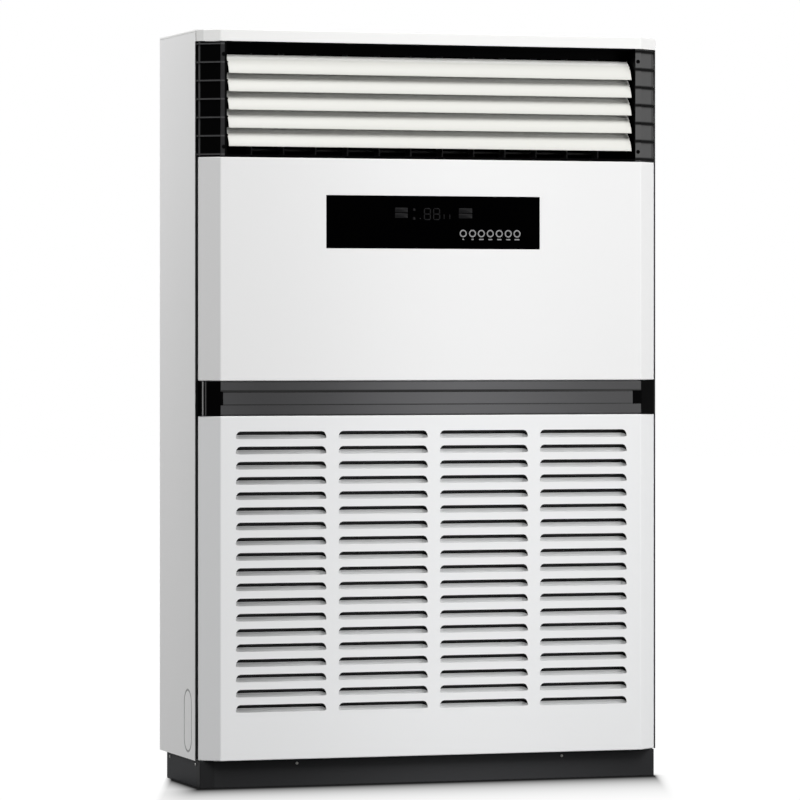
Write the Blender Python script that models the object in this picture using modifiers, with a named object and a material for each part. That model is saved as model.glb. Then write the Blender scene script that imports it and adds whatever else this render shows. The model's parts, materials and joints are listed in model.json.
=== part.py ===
"""Floor standing air conditioner cabinet with a louvred inlet, a trim band and a five-slat outlet.

X runs to the right as seen from the front, Y runs to the back and Z runs up. The origin is on the floor,
under the middle of the cabinet. Lengths are metres. A depth is counted back from the front plane.
"""

import math

import bmesh
import bpy
from mathutils import Matrix, Vector

# Cabinet
WIDTH = 1.200
DEPTH = 0.380
CHAMFER_WIDTH = 0.0533
CHAMFER_DEPTH = 0.0354
SHEET = 0.0012
BEND = 0.0020
BEND_STEPS = 2
FIT = 0.0003
SEAM = 0.0005

# Heights of the front, stacked from the floor up
BASE_HEIGHT = 0.0680
LOWER_PANEL_HEIGHT = 0.8425
BAND_HEIGHT = 0.0850
UPPER_PANEL_HEIGHT = 0.5478
OUTLET_HEIGHT = 0.2824
CAP_SKIRT = 0.0293
CAP_RIM = 0.0060

# Base
PLINTH_SETBACK = 0.0275
PLINTH_SIDE_SETBACK = 0.0080
PLINTH_REAR_SETBACK = 0.0400
PLINTH_SHEET = 0.0020
PLINTH_FLANGE = 0.0250
PLINTH_RETURN = 0.0320
PAN_THICKNESS = 0.0020

# Front panels and corner posts
EDGE_GROOVE = 0.0050
EDGE_FOLD = 0.0045
PANEL_FLANGE = 0.0280
PANEL_RETURN = 0.0196
POST_LENGTH = 0.0350
POST_WIDTH = 0.0280
POST_SHEET = 0.0015
SIDE_STEP = 0.0046
REAR_FLANGE = 0.0280

# Knock-out for pipes, pressed into each side panel
KNOCKOUT_WIDTH = 0.0690
KNOCKOUT_HEIGHT = 0.1530
KNOCKOUT_DEPTH = 0.1096
KNOCKOUT_LEVEL = 0.1610
KNOCKOUT_GROOVE = 0.0020
KNOCKOUT_GROOVE_DEPTH = 0.0007
KNOCKOUT_END_STEPS = 8

# Louvres pressed into the lower front panel
LOUVRE_WIDTH = 0.2310
LOUVRE_COLUMN_PITCH = 0.2620
LOUVRE_ROW_PITCH = 0.03712
LOUVRE_TOP_MARGIN = 0.0380
LOUVRE_BOTTOM_MARGIN = 0.1100
LOUVRE_SIDE_MARGIN = 0.0300
LOUVRE_GAP = 0.0088
LOUVRE_RISE = 0.0160
LOUVRE_FOOT = 0.0030
LOUVRE_KNEE = 0.0005
LOUVRE_KNEE_INSET = 0.0138
LOUVRE_INSET = 0.0142
LOUVRE_END = 0.0110
LOUVRE_END_STEPS = 3

# Trim band
BAND_THICKNESS = 0.0080
BAND_GROOVE_INSET = 0.0265
BAND_UPPER_GROOVE_WIDTH = 0.0026
BAND_LOWER_GROOVE_WIDTH = 0.0014
BAND_UPPER_GROOVE_DEPTH = 0.0020
BAND_LOWER_GROOVE_DEPTH = 0.0010
BAND_EDGE_STEP = 0.0032
BAND_EDGE_DEPTH = 0.0018
END_WALL = 0.0030
TONGUE_RIGHT = 0.0220
TONGUE_LEFT = 0.0060

# Rounded outer corners of the trim ends and the outlet corners
CORNER_GROOVE = 0.0015
CORNER_RADIUS = 0.0160
CORNER_STEPS = 6

# Display panel, a little behind the front plane
DISPLAY_WIDTH = 0.5550
DISPLAY_HEIGHT = 0.1305
DISPLAY_DROP = 0.1565
DISPLAY_THICKNESS = 0.0100
DISPLAY_RECESS = 0.0008

# Outlet frame
CORNER_STRIP = 0.0157
RAIL_WALL = 0.0025
RAIL_DEPTH = 0.0750
TOP_LIP = 0.0257
TOP_LIP_DEPTH = 0.0500
BOTTOM_LIP = 0.0064
CORNER_WALL = 0.0030
CORNER_RECESS = 0.0030
STRIP_RECESS = 0.0003
RIB_HEIGHT = 0.0036
RIB_COUNT = 7
RIB_MARGIN = 0.0062

# Slats
SLAT_PITCH = 0.0446
SLAT_FIRST_RISE = 0.0537
SLAT_TOP_ROOM = 0.0300
SLAT_END_GAP = 0.0070
SLAT_RADIUS = 0.0750
SLAT_LOW_ANGLE = math.radians(14)
SLAT_HIGH_ANGLE = math.radians(61)
SLAT_STEPS = 8
SLAT_THICKNESS = 0.0030
SLAT_EDGE_THICKNESS = 0.0016
SLAT_PIVOT_DEPTH = 0.0203
PIN_RADIUS = 0.0030
PIN_CLEARANCE = 0.0004
PIN_REACH = 0.0022
ROUND_SEGMENTS = 12

# Duct and guide vanes behind the slats
DUCT_SHEET = 0.0015
DUCT_FRONT = 0.0605
DUCT_REAR_GAP = 0.0500
VANE_PITCH = 0.0822
VANE_SIDE_GAP = 0.0700
VANE_FRONT = 0.0562
VANE_LENGTH = 0.0450
VANE_THICKNESS = 0.0024
VANE_PIVOT_RADIUS = 0.0035
VANE_PIVOT_HEIGHT = 0.0120
LINK_RADIUS = 0.0030
LINK_RISE = 0.0160
LINK_REAR_GAP = 0.0060
LINK_SEGMENTS = 8

# Inside the cabinet
DECK_RISE = 0.0445
DECK_FLANGE = 0.0250
FILTER_FRONT = 0.0195
FILTER_THICKNESS = 0.0060
FILTER_TOP_GAP = 0.0255
FILTER_BORDER = 0.0120
FILTER_BAR = 0.0060
FILTER_CELLS_WIDE = 3
FILTER_CELLS_HIGH = 5

CUT_REACH = 0.0100
MERGE = 0.000001
FOLD_ANGLE = math.radians(5)

FRONT_Y = -DEPTH / 2
BACK_Y = DEPTH / 2
HALF_WIDTH = WIDTH / 2
FLAT_HALF_WIDTH = HALF_WIDTH - CHAMFER_WIDTH
PANEL_HALF_WIDTH = HALF_WIDTH - EDGE_GROOVE
CORNER_HALF_WIDTH = HALF_WIDTH - CORNER_GROOVE
OPENING_HALF_WIDTH = FLAT_HALF_WIDTH - CORNER_STRIP
POST_DEPTH = CHAMFER_DEPTH + PANEL_RETURN
PANEL_BOTTOM = BASE_HEIGHT
BAND_BOTTOM = PANEL_BOTTOM + LOWER_PANEL_HEIGHT
BAND_TOP = BAND_BOTTOM + BAND_HEIGHT
OUTLET_BOTTOM = BAND_TOP + UPPER_PANEL_HEIGHT
OUTLET_TOP = OUTLET_BOTTOM + OUTLET_HEIGHT
HEIGHT = OUTLET_TOP + CAP_SKIRT
SIDE_TOP = HEIGHT - CAP_RIM
PLINTH_TOP = PANEL_BOTTOM - FIT
PAN_TOP = PANEL_BOTTOM + PAN_THICKNESS
DISPLAY_LEVEL = OUTLET_BOTTOM - DISPLAY_DROP
INNER_HALF_WIDTH = HALF_WIDTH - SHEET - SEAM


def clear_scene():
    """Removes what a new file starts with."""
    for obj in list(bpy.data.objects):
        bpy.data.objects.remove(obj)


def new_collection(name):
    collection = bpy.data.collections.new(name)
    bpy.context.scene.collection.children.link(collection)
    return collection


def new_material(name, colour, roughness, metallic=0.0):
    """A Principled BSDF of one linear colour."""
    material = bpy.data.materials.new(name)
    material.use_nodes = True
    shader = material.node_tree.nodes["Principled BSDF"]
    shader.inputs["Base Color"].default_value = (*colour, 1.0)
    shader.inputs["Roughness"].default_value = roughness
    shader.inputs["Metallic"].default_value = metallic
    material.diffuse_color = (*colour, 1.0)
    return material


clear_scene()
PARTS = new_collection("floor_standing_air_conditioner")
CUTTERS = new_collection("cutters")
CUTTERS.hide_render = True
WHITE_ENAMEL = new_material("white_enamel", (0.80, 0.80, 0.78), 0.45)
GREY_ENAMEL = new_material("grey_enamel", (0.020, 0.021, 0.023), 0.55)
GREY_TRIM = new_material("grey_trim", (0.075, 0.075, 0.078), 0.35)
BLACK_PLASTIC = new_material("black_plastic", (0.006, 0.006, 0.0065), 0.30)
GLOSS_BLACK = new_material("gloss_black", (0.004, 0.004, 0.005), 0.08)
IVORY_PLASTIC = new_material("ivory_plastic", (0.72, 0.72, 0.675), 0.40)
ZINC_STEEL = new_material("zinc_steel", (0.42, 0.43, 0.44), 0.40, 0.8)
FILTER_PLASTIC = new_material("filter_plastic", (0.02, 0.02, 0.022), 0.60)


def behind(depth):
    """The Y of a point this far behind the front plane."""
    return FRONT_Y + depth


def copies_that_fit(room, pitch, length=0.0):
    """How many pieces of this length, a pitch apart, go into the room."""
    return 1 + math.floor((room - length) / pitch)


def add_object(bm, name, material, collection=PARTS):
    """Turns the bmesh into an object in the collection."""
    mesh = bpy.data.meshes.new(name)
    bm.to_mesh(mesh)
    bm.free()
    mesh.materials.append(material)
    obj = bpy.data.objects.new(name, mesh)
    collection.objects.link(obj)
    return obj


def helper_object(bm, name):
    """A body that only cuts or joins others."""
    bmesh.ops.recalc_face_normals(bm, faces=bm.faces)
    obj = add_object(bm, name, BLACK_PLASTIC, CUTTERS)
    obj.hide_render = True
    obj.display_type = "WIRE"
    return obj


def boolean(obj, other, operation):
    modifier = obj.modifiers.new(other.name, "BOOLEAN")
    modifier.operation = operation
    modifier.solver = "EXACT"
    modifier.object = other


def solid(bm, name, material):
    bmesh.ops.recalc_face_normals(bm, faces=bm.faces)
    return add_object(bm, name, material)


def round_folds(bm):
    """Gives each fold of an open sheet its bend."""
    bmesh.ops.recalc_face_normals(bm, faces=bm.faces)
    folds = [e for e in bm.edges if len(e.link_faces) == 2 and e.calc_face_angle() > FOLD_ANGLE]
    bmesh.ops.bevel(
        bm, geom=folds, offset=BEND, offset_type="OFFSET", segments=BEND_STEPS, profile=0.5, affect="EDGES"
    )


def sheet(bm, name, material, thickness, outward, even=True):
    """Gives an open surface its thickness on the side away from the outward direction."""
    bmesh.ops.recalc_face_normals(bm, faces=bm.faces)
    facing = sum((face.normal * face.calc_area() for face in bm.faces), Vector())
    if facing.dot(Vector(outward)) < 0:
        bmesh.ops.reverse_faces(bm, faces=bm.faces)
    obj = add_object(bm, name, material)
    wall = obj.modifiers.new("wall", "SOLIDIFY")
    wall.thickness = thickness
    wall.offset = -1
    wall.use_even_offset = even
    return obj


def moved_points(geometry):
    """The vertices among what an extrusion made."""
    return [item for item in geometry if isinstance(item, bmesh.types.BMVert)]


def add_box(bm, low, high):
    """A box between two corners."""
    low, high = Vector(low), Vector(high)
    place = Matrix.Translation((low + high) / 2) @ Matrix.Diagonal((*(high - low), 1))
    bmesh.ops.create_cube(bm, size=1, matrix=place)


def add_prism(bm, outline, direction):
    """A closed outline of 3D points, carried along a direction."""
    face = bm.faces.new([bm.verts.new(point) for point in outline])
    made = bmesh.ops.extrude_face_region(bm, geom=[face])["geom"]
    bmesh.ops.translate(bm, vec=direction, verts=moved_points(made))


def add_strip(bm, path, direction):
    """An open path of 3D points, carried along a direction into a folded strip."""
    points = [bm.verts.new(point) for point in path]
    edges = [bm.edges.new(pair) for pair in zip(points, points[1:])]
    made = bmesh.ops.extrude_edge_only(bm, edges=edges)["geom"]
    bmesh.ops.translate(bm, vec=direction, verts=moved_points(made))


def add_cylinder(bm, low, high, radius, segments=ROUND_SEGMENTS):
    """A cylinder between the middles of its two ends."""
    low, high = Vector(low), Vector(high)
    turn = (high - low).to_track_quat("Z", "Y").to_matrix().to_4x4()
    place = Matrix.Translation((low + high) / 2) @ turn
    length = (high - low).length
    bmesh.ops.create_cone(
        bm, cap_ends=True, segments=segments, radius1=radius, radius2=radius, depth=length, matrix=place
    )


def offset_path(path, distance):
    """The 2D path moved sideways, with mitred corners; a positive distance moves it to the left."""
    normals = []
    for (ax, ay), (bx, by) in zip(path, path[1:]):
        length = math.hypot(bx - ax, by - ay)
        normals.append(Vector((-(by - ay) / length, (bx - ax) / length)))
    moved = []
    for i, (x, y) in enumerate(path):
        before = normals[max(i - 1, 0)]
        after = normals[min(i, len(normals) - 1)]
        mitre = (before + after) / (1 + before.dot(after))
        moved.append((x + mitre.x * distance, y + mitre.y * distance))
    return moved


def arc_corner(before, corner, after, radius, steps):
    """The points of an arc that rounds one corner of a 2D path."""
    corner = Vector(corner)
    back = (Vector(before) - corner).normalized()
    on = (Vector(after) - corner).normalized()
    half = back.angle(on) / 2
    centre = corner + (back + on).normalized() * radius / math.sin(half)
    spoke = corner + back * radius / math.tan(half) - centre
    turn = math.copysign(math.pi - 2 * half, back.y * on.x - back.x * on.y)
    return [tuple(centre + Matrix.Rotation(turn * i / steps, 2) @ spoke) for i in range(steps + 1)]


def both_sides(right):
    """The (x, depth) path of the right side, joined to its mirror image on the left."""
    return [(-x, d) for x, d in reversed(right)] + right


def front_path():
    """Plan of the front from the left return to the right return, with a small fold behind each chamfer."""
    inside = PANEL_HALF_WIDTH - EDGE_FOLD
    shoulder = [(FLAT_HALF_WIDTH, 0.0), (PANEL_HALF_WIDTH, CHAMFER_DEPTH)]
    return both_sides([*shoulder, (inside, CHAMFER_DEPTH + EDGE_FOLD), (inside, POST_DEPTH - FIT)])


def front_flange_path():
    """Inner edge of the front panels' flanges, with one point for each point of the front's plan."""
    inside = PANEL_HALF_WIDTH - EDGE_FOLD
    right = [(FLAT_HALF_WIDTH, 0.0), (inside, CHAMFER_DEPTH + EDGE_FOLD), (inside, POST_DEPTH - FIT)]
    inner = offset_path(both_sides(right), PANEL_FLANGE)
    return [inner[i] for i in (0, 1, 1, 2, 3, 4, 4, 5)]


def corner_path():
    """Plan of a rounded front corner from the end of the flat front to the return, as (x, depth)."""
    shoulder = (FLAT_HALF_WIDTH, 0.0)
    outer = (CORNER_HALF_WIDTH, CHAMFER_DEPTH)
    end = (CORNER_HALF_WIDTH, POST_DEPTH - FIT)
    return [shoulder, *arc_corner(shoulder, outer, end, CORNER_RADIUS, CORNER_STEPS), end]


def on_plan(path, z):
    return [(x, behind(d), z) for x, d in path]


def mirrored(path, side):
    """The (x, depth) path on the right side, or on the left where side is -1."""
    return [(side * x, d) for x, d in path]


def flat_face(bm):
    """The largest face, which is the flat front of a folded panel."""
    return max(bm.faces, key=lambda face: face.calc_area())


def add_folded_panel(bm, path, inner, low, high):
    """A panel folded along its plan, with flanges at its top and bottom that reach in to the inner path."""
    for z in (low, high):
        outer_points = [bm.verts.new(p) for p in on_plan(path, z)]
        at = {p: bm.verts.new(p) for p in on_plan(inner, z)}
        inner_points = [at[p] for p in on_plan(inner, z)]
        for corners in zip(outer_points, outer_points[1:], inner_points[1:], inner_points):
            bm.faces.new(list(dict.fromkeys(corners)))
    add_strip(bm, on_plan(path, low), (0, 0, high - low))
    bmesh.ops.remove_doubles(bm, verts=bm.verts, dist=MERGE)
    round_folds(bm)


def make_plinth():
    """The dark base: a front and a rear rail with returned ends, and two side rails between them."""
    half = HALF_WIDTH - PLINTH_SIDE_SETBACK
    rear = DEPTH - PLINTH_REAR_SETBACK
    front = PLINTH_SETBACK
    for name, line, inward, outward in (
        ("plinth_front_rail", front, 1, (0, -1, 0)),
        ("plinth_rear_rail", rear, -1, (0, 1, 0)),
    ):
        turned = line + inward * PLINTH_RETURN
        path = [(-half, turned), (-half, line), (half, line), (half, turned)]
        bm = bmesh.new()
        add_folded_panel(bm, path, offset_path(path, inward * PLINTH_FLANGE), 0, PLINTH_TOP)
        sheet(bm, name, GREY_ENAMEL, PLINTH_SHEET, outward)
    for name, side in (("plinth_left_rail", -1), ("plinth_right_rail", 1)):
        outer = side * half
        inner = side * (half - PLINTH_FLANGE)
        start = behind(front + PLINTH_RETURN + FIT)
        length = rear - front - 2 * (PLINTH_RETURN + FIT)
        path = [(inner, start, 0), (outer, start, 0), (outer, start, PLINTH_TOP), (inner, start, PLINTH_TOP)]
        bm = bmesh.new()
        add_strip(bm, path, (0, length, 0))
        round_folds(bm)
        sheet(bm, name, GREY_ENAMEL, PLINTH_SHEET, (side, 0, 0))


def make_base_pan():
    bm = bmesh.new()
    rear = BACK_Y - 2 * SHEET - 2 * FIT
    add_box(bm, (-INNER_HALF_WIDTH, behind(POST_DEPTH), PANEL_BOTTOM), (INNER_HALF_WIDTH, rear, PAN_TOP))
    solid(bm, "base_pan", ZINC_STEEL)


def make_posts():
    """Folded posts behind the front corners, which the side panels and the front panels fasten to."""
    for name, side in (("left_front_post", -1), ("right_front_post", 1)):
        outer = HALF_WIDTH - SHEET - FIT
        inner = outer - POST_WIDTH
        back = POST_DEPTH + POST_LENGTH
        path = mirrored([(outer, back), (outer, POST_DEPTH), (inner, POST_DEPTH), (inner, back)], side)
        low = PAN_TOP + FIT
        bm = bmesh.new()
        add_strip(bm, on_plan(path, low), (0, 0, SIDE_TOP - FIT - low))
        round_folds(bm)
        sheet(bm, name, ZINC_STEEL, POST_SHEET, (0, -1, 0))


def make_side_panels():
    front = CHAMFER_DEPTH + SIDE_STEP
    low = PANEL_BOTTOM - FIT
    for name, side in (("left_side_panel", -1), ("right_side_panel", 1)):
        path = mirrored([(HALF_WIDTH, front), (HALF_WIDTH, DEPTH), (HALF_WIDTH - REAR_FLANGE, DEPTH)], side)
        bm = bmesh.new()
        add_strip(bm, on_plan(path, low), (0, 0, SIDE_TOP - low))
        round_folds(bm)
        panel = sheet(bm, name, WHITE_ENAMEL, SHEET, (side, 0, 0))
        boolean(panel, knockout_cutter(name + "_knockout", side), "DIFFERENCE")


def obround(width, height):
    """Half-round ends on a straight-sided slot, as (across, up) around its centre."""
    radius = width / 2
    points = []
    for end, start in ((1, 0.0), (-1, math.pi)):
        for i in range(KNOCKOUT_END_STEPS + 1):
            angle = start + math.pi * i / KNOCKOUT_END_STEPS
            points.append((radius * math.cos(angle), end * (height / 2 - radius) + radius * math.sin(angle)))
    return points


def knockout_cutter(name, side):
    """A thin obround ring that reaches a little way into the side panel."""
    floor = side * (HALF_WIDTH - KNOCKOUT_GROOVE_DEPTH)
    bm = bmesh.new()
    edges = []
    for inset in (0, 2 * KNOCKOUT_GROOVE):
        outline = obround(KNOCKOUT_WIDTH - inset, KNOCKOUT_HEIGHT - inset)
        points = [bm.verts.new((floor, behind(KNOCKOUT_DEPTH + a), KNOCKOUT_LEVEL + b)) for a, b in outline]
        edges += [bm.edges.new(pair) for pair in zip(points, points[1:] + points[:1])]
    ring = bmesh.ops.bridge_loops(bm, edges=edges)["faces"]
    made = bmesh.ops.extrude_face_region(bm, geom=ring)["geom"]
    bmesh.ops.translate(bm, vec=(side * SHEET, 0, 0), verts=moved_points(made))
    return helper_object(bm, name)


def make_back_panel():
    rear = BACK_Y - SHEET - FIT
    bm = bmesh.new()
    add_box(bm, (-INNER_HALF_WIDTH, rear - SHEET, PANEL_BOTTOM), (INNER_HALF_WIDTH, rear, SIDE_TOP - FIT))
    solid(bm, "back_panel", WHITE_ENAMEL)


def make_top_cap():
    """A lid with a shallow rim on the sides and back and a deep skirt across the front and its chamfers."""
    reach = CHAMFER_DEPTH * CHAMFER_WIDTH / (CHAMFER_WIDTH - EDGE_GROOVE)
    right = [(FLAT_HALF_WIDTH, 0.0), (HALF_WIDTH, reach), (HALF_WIDTH, DEPTH)]
    path = both_sides(right)
    rim = SIDE_TOP + SEAM
    skirt = OUTLET_TOP + SEAM
    bm = bmesh.new()
    bm.faces.new([bm.verts.new(p) for p in on_plan(path, HEIGHT)])
    add_strip(bm, on_plan(path + path[:1], rim), (0, 0, HEIGHT - rim))
    bmesh.ops.remove_doubles(bm, verts=bm.verts, dist=MERGE)
    round_folds(bm)
    front_edges = [
        edge
        for edge in bm.edges
        if all(abs(v.co.z - rim) < MERGE and v.co.y < behind(reach + MERGE) for v in edge.verts)
    ]
    made = bmesh.ops.extrude_edge_only(bm, edges=front_edges)["geom"]
    bmesh.ops.translate(bm, vec=(0, 0, skirt - rim), verts=moved_points(made))
    sheet(bm, "top_cap", WHITE_ENAMEL, SHEET, (0, 0, 1))


def louvre_stations():
    """(distance along the louvre, share of its full opening) from end to end, on quarter ellipses."""
    angles = [math.pi / 2 * i / LOUVRE_END_STEPS for i in range(LOUVRE_END_STEPS + 1)]
    left = [(LOUVRE_END * (1 - math.cos(a)), math.sin(a)) for a in angles]
    return left + [(LOUVRE_WIDTH - u, share) for u, share in reversed(left)]


def add_louvre(bm, left, top):
    """One louvre at its left end and top edge: its outline's edges in the panel, and its pressed-in flap.

    The flap steps in from its foot to a knee and then rises to a free edge below the gap.
    """
    stations = louvre_stations()
    end_level = top - LOUVRE_RISE
    flap = (
        (0.0, -LOUVRE_FOOT),
        (LOUVRE_KNEE_INSET, LOUVRE_KNEE - LOUVRE_FOOT),
        (LOUVRE_INSET, LOUVRE_RISE - LOUVRE_GAP),
    )
    upper = []
    lines = [[] for _ in flap]
    for u, share in stations:
        x = left + u
        if share == 0:
            tip = bm.verts.new((x, FRONT_Y, end_level))
            upper.append(tip)
            for line in lines:
                line.append(tip)
            continue
        upper.append(bm.verts.new((x, FRONT_Y, end_level + LOUVRE_RISE * share)))
        for line, (inset, rise) in zip(lines, flap):
            line.append(bm.verts.new((x, behind(inset * share), end_level + rise * share)))
    for low, high in zip(lines, lines[1:]):
        for i in range(len(stations) - 1):
            bm.faces.new(list(dict.fromkeys((high[i], low[i], low[i + 1], high[i + 1]))))
    outline = upper + lines[0][-2:0:-1]
    return [bm.edges.get(pair) or bm.edges.new(pair) for pair in zip(outline, outline[1:] + outline[:1])]


def make_lower_grille_panel():
    """The inlet panel: its flat front is filled around the louvre outlines, so the sheet is one piece."""
    bm = bmesh.new()
    add_folded_panel(bm, front_path(), front_flange_path(), PANEL_BOTTOM + SEAM, BAND_BOTTOM - SEAM)
    face = flat_face(bm)
    outline = list(face.edges)
    bmesh.ops.delete(bm, geom=[face], context="FACES_ONLY")
    across = 2 * (FLAT_HALF_WIDTH - LOUVRE_SIDE_MARGIN)
    up = LOWER_PANEL_HEIGHT - LOUVRE_TOP_MARGIN - LOUVRE_BOTTOM_MARGIN
    columns = copies_that_fit(across, LOUVRE_COLUMN_PITCH, LOUVRE_WIDTH)
    rows = copies_that_fit(up, LOUVRE_ROW_PITCH, LOUVRE_RISE + LOUVRE_FOOT)
    for column in range(columns):
        centre = (column - (columns - 1) / 2) * LOUVRE_COLUMN_PITCH
        for row in range(rows):
            top = BAND_BOTTOM - LOUVRE_TOP_MARGIN - row * LOUVRE_ROW_PITCH
            outline += add_louvre(bm, centre - LOUVRE_WIDTH / 2, top)
    bmesh.ops.triangle_fill(bm, use_beauty=True, use_dissolve=False, edges=outline, normal=(0, -1, 0))
    sheet(bm, "lower_grille_panel", WHITE_ENAMEL, SHEET, (0, -1, 0), even=False)


def make_upper_front_panel():
    bm = bmesh.new()
    add_folded_panel(bm, front_path(), front_flange_path(), BAND_TOP + SEAM, OUTLET_BOTTOM - SEAM)
    panel = sheet(bm, "upper_front_panel", WHITE_ENAMEL, SHEET, (0, -1, 0))
    across = DISPLAY_WIDTH / 2 + FIT
    up = DISPLAY_HEIGHT / 2 + FIT
    window = bmesh.new()
    add_box(
        window,
        (-across, behind(-CUT_REACH), DISPLAY_LEVEL - up),
        (across, behind(CUT_REACH), DISPLAY_LEVEL + up),
    )
    boolean(panel, helper_object(window, "display_window"), "DIFFERENCE")


def make_display_panel():
    across = DISPLAY_WIDTH / 2
    up = DISPLAY_HEIGHT / 2
    bm = bmesh.new()
    add_box(
        bm,
        (-across, behind(DISPLAY_RECESS), DISPLAY_LEVEL - up),
        (across, behind(DISPLAY_RECESS + DISPLAY_THICKNESS), DISPLAY_LEVEL + up),
    )
    solid(bm, "display_panel", GLOSS_BLACK)


def band_strip():
    """Lower and upper level of the strip between the band's two grooves."""
    return BAND_BOTTOM + BAND_GROOVE_INSET, BAND_TOP - BAND_GROOVE_INSET


def make_trim_band():
    """A grooved moulding across the flat front, cut back at its middle strip for its end pieces' tongues."""
    low, high = BAND_BOTTOM + SEAM, BAND_TOP - SEAM
    strip_low, strip_high = band_strip()
    profile = [(BAND_THICKNESS, low), (BAND_EDGE_DEPTH, low), (BAND_EDGE_DEPTH, low + BAND_EDGE_STEP)]
    profile.append((0, low + BAND_EDGE_STEP))
    for level, width, depth in (
        (strip_low, BAND_LOWER_GROOVE_WIDTH, BAND_LOWER_GROOVE_DEPTH),
        (strip_high, BAND_UPPER_GROOVE_WIDTH, BAND_UPPER_GROOVE_DEPTH),
    ):
        below, above = level - width / 2, level + width / 2
        profile += [(0, below), (depth, below), (depth, above), (0, above)]
    profile += [(0, high - BAND_EDGE_STEP), (BAND_EDGE_DEPTH, high - BAND_EDGE_STEP)]
    profile += [(BAND_EDGE_DEPTH, high), (BAND_THICKNESS, high)]
    half = FLAT_HALF_WIDTH
    bm = bmesh.new()
    add_prism(bm, [(-half, behind(d), z) for d, z in profile], (2 * half, 0, 0))
    band = solid(bm, "trim_band", GREY_TRIM)
    for name, side, tongue in (("left_notch", -1, TONGUE_LEFT), ("right_notch", 1, TONGUE_RIGHT)):
        ends = sorted((side * (half - tongue - FIT), side * (half + CUT_REACH)))
        cutter = bmesh.new()
        add_box(
            cutter,
            (ends[0], behind(-CUT_REACH), strip_low - BAND_LOWER_GROOVE_WIDTH / 2),
            (ends[1], behind(END_WALL + FIT), strip_high + BAND_UPPER_GROOVE_WIDTH / 2),
        )
        boolean(band, helper_object(cutter, name), "DIFFERENCE")


def make_trim_ends():
    """Black rounded end pieces, each with a tongue into the middle strip of the band."""
    start = FLAT_HALF_WIDTH + 2 * FIT
    slope = CHAMFER_DEPTH / (CORNER_HALF_WIDTH - FLAT_HALF_WIDTH)
    flush = [(start, slope * (start - FLAT_HALF_WIDTH)), *corner_path()[1:]]
    inner = offset_path(flush, END_WALL)
    inner[0] = (start, inner[0][1])
    low, high = BAND_BOTTOM + SEAM, BAND_TOP - SEAM
    strip_low, strip_high = band_strip()
    tongue_low = strip_low - BAND_LOWER_GROOVE_WIDTH / 2 + FIT
    tongue_high = strip_high + BAND_UPPER_GROOVE_WIDTH / 2 - FIT
    for name, side, length in (("trim_end_left", -1, TONGUE_LEFT), ("trim_end_right", 1, TONGUE_RIGHT)):
        bm = bmesh.new()
        add_prism(bm, on_plan(mirrored(flush + inner[::-1], side), low), (0, 0, high - low))
        end_piece = solid(bm, name, BLACK_PLASTIC)
        tip = FLAT_HALF_WIDTH - length
        root = start + END_WALL
        root_depth = (flush[0][1] + inner[0][1]) / 2
        face = [(tip, 0.0), (FLAT_HALF_WIDTH, 0.0), flush[0]]
        plan = [*face, (root, root_depth), (root, END_WALL), (tip, END_WALL)]
        tongue = bmesh.new()
        add_prism(tongue, on_plan(mirrored(plan, side), tongue_low), (0, 0, tongue_high - tongue_low))
        boolean(end_piece, helper_object(tongue, name + "_tongue"), "UNION")


def make_outlet_rails():
    """Sections across the outlet's top and bottom, with the top one's lip set back behind the slats."""
    half = OPENING_HALF_WIDTH - FIT
    top = OUTLET_TOP - SEAM + FIT
    bottom = OUTLET_BOTTOM + SEAM - FIT
    for name, edge, lip, front, toward in (
        ("outlet_top_rail", top, OUTLET_TOP - TOP_LIP, TOP_LIP_DEPTH, -1),
        ("outlet_bottom_rail", bottom, OUTLET_BOTTOM + BOTTOM_LIP, 0, 1),
    ):
        inner = edge + toward * RAIL_WALL
        back = front + RAIL_WALL
        wall = [(0, edge), (RAIL_DEPTH, edge), (RAIL_DEPTH, inner)]
        outline = [*wall, (back, inner), (back, lip), (front, lip)]
        if front > 0:
            outline += [(front, inner), (0, inner)]
        bm = bmesh.new()
        add_prism(bm, [(-half, behind(d), z) for d, z in outline], (2 * half, 0, 0))
        solid(bm, name, BLACK_PLASTIC)


def slat_count():
    """Slats stand a pitch apart up to the room that the top one needs."""
    return copies_that_fit(OUTLET_HEIGHT - SLAT_TOP_ROOM - SLAT_FIRST_RISE, SLAT_PITCH)


def slat_pivot(index):
    return OUTLET_BOTTOM + SLAT_FIRST_RISE + index * SLAT_PITCH


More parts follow.
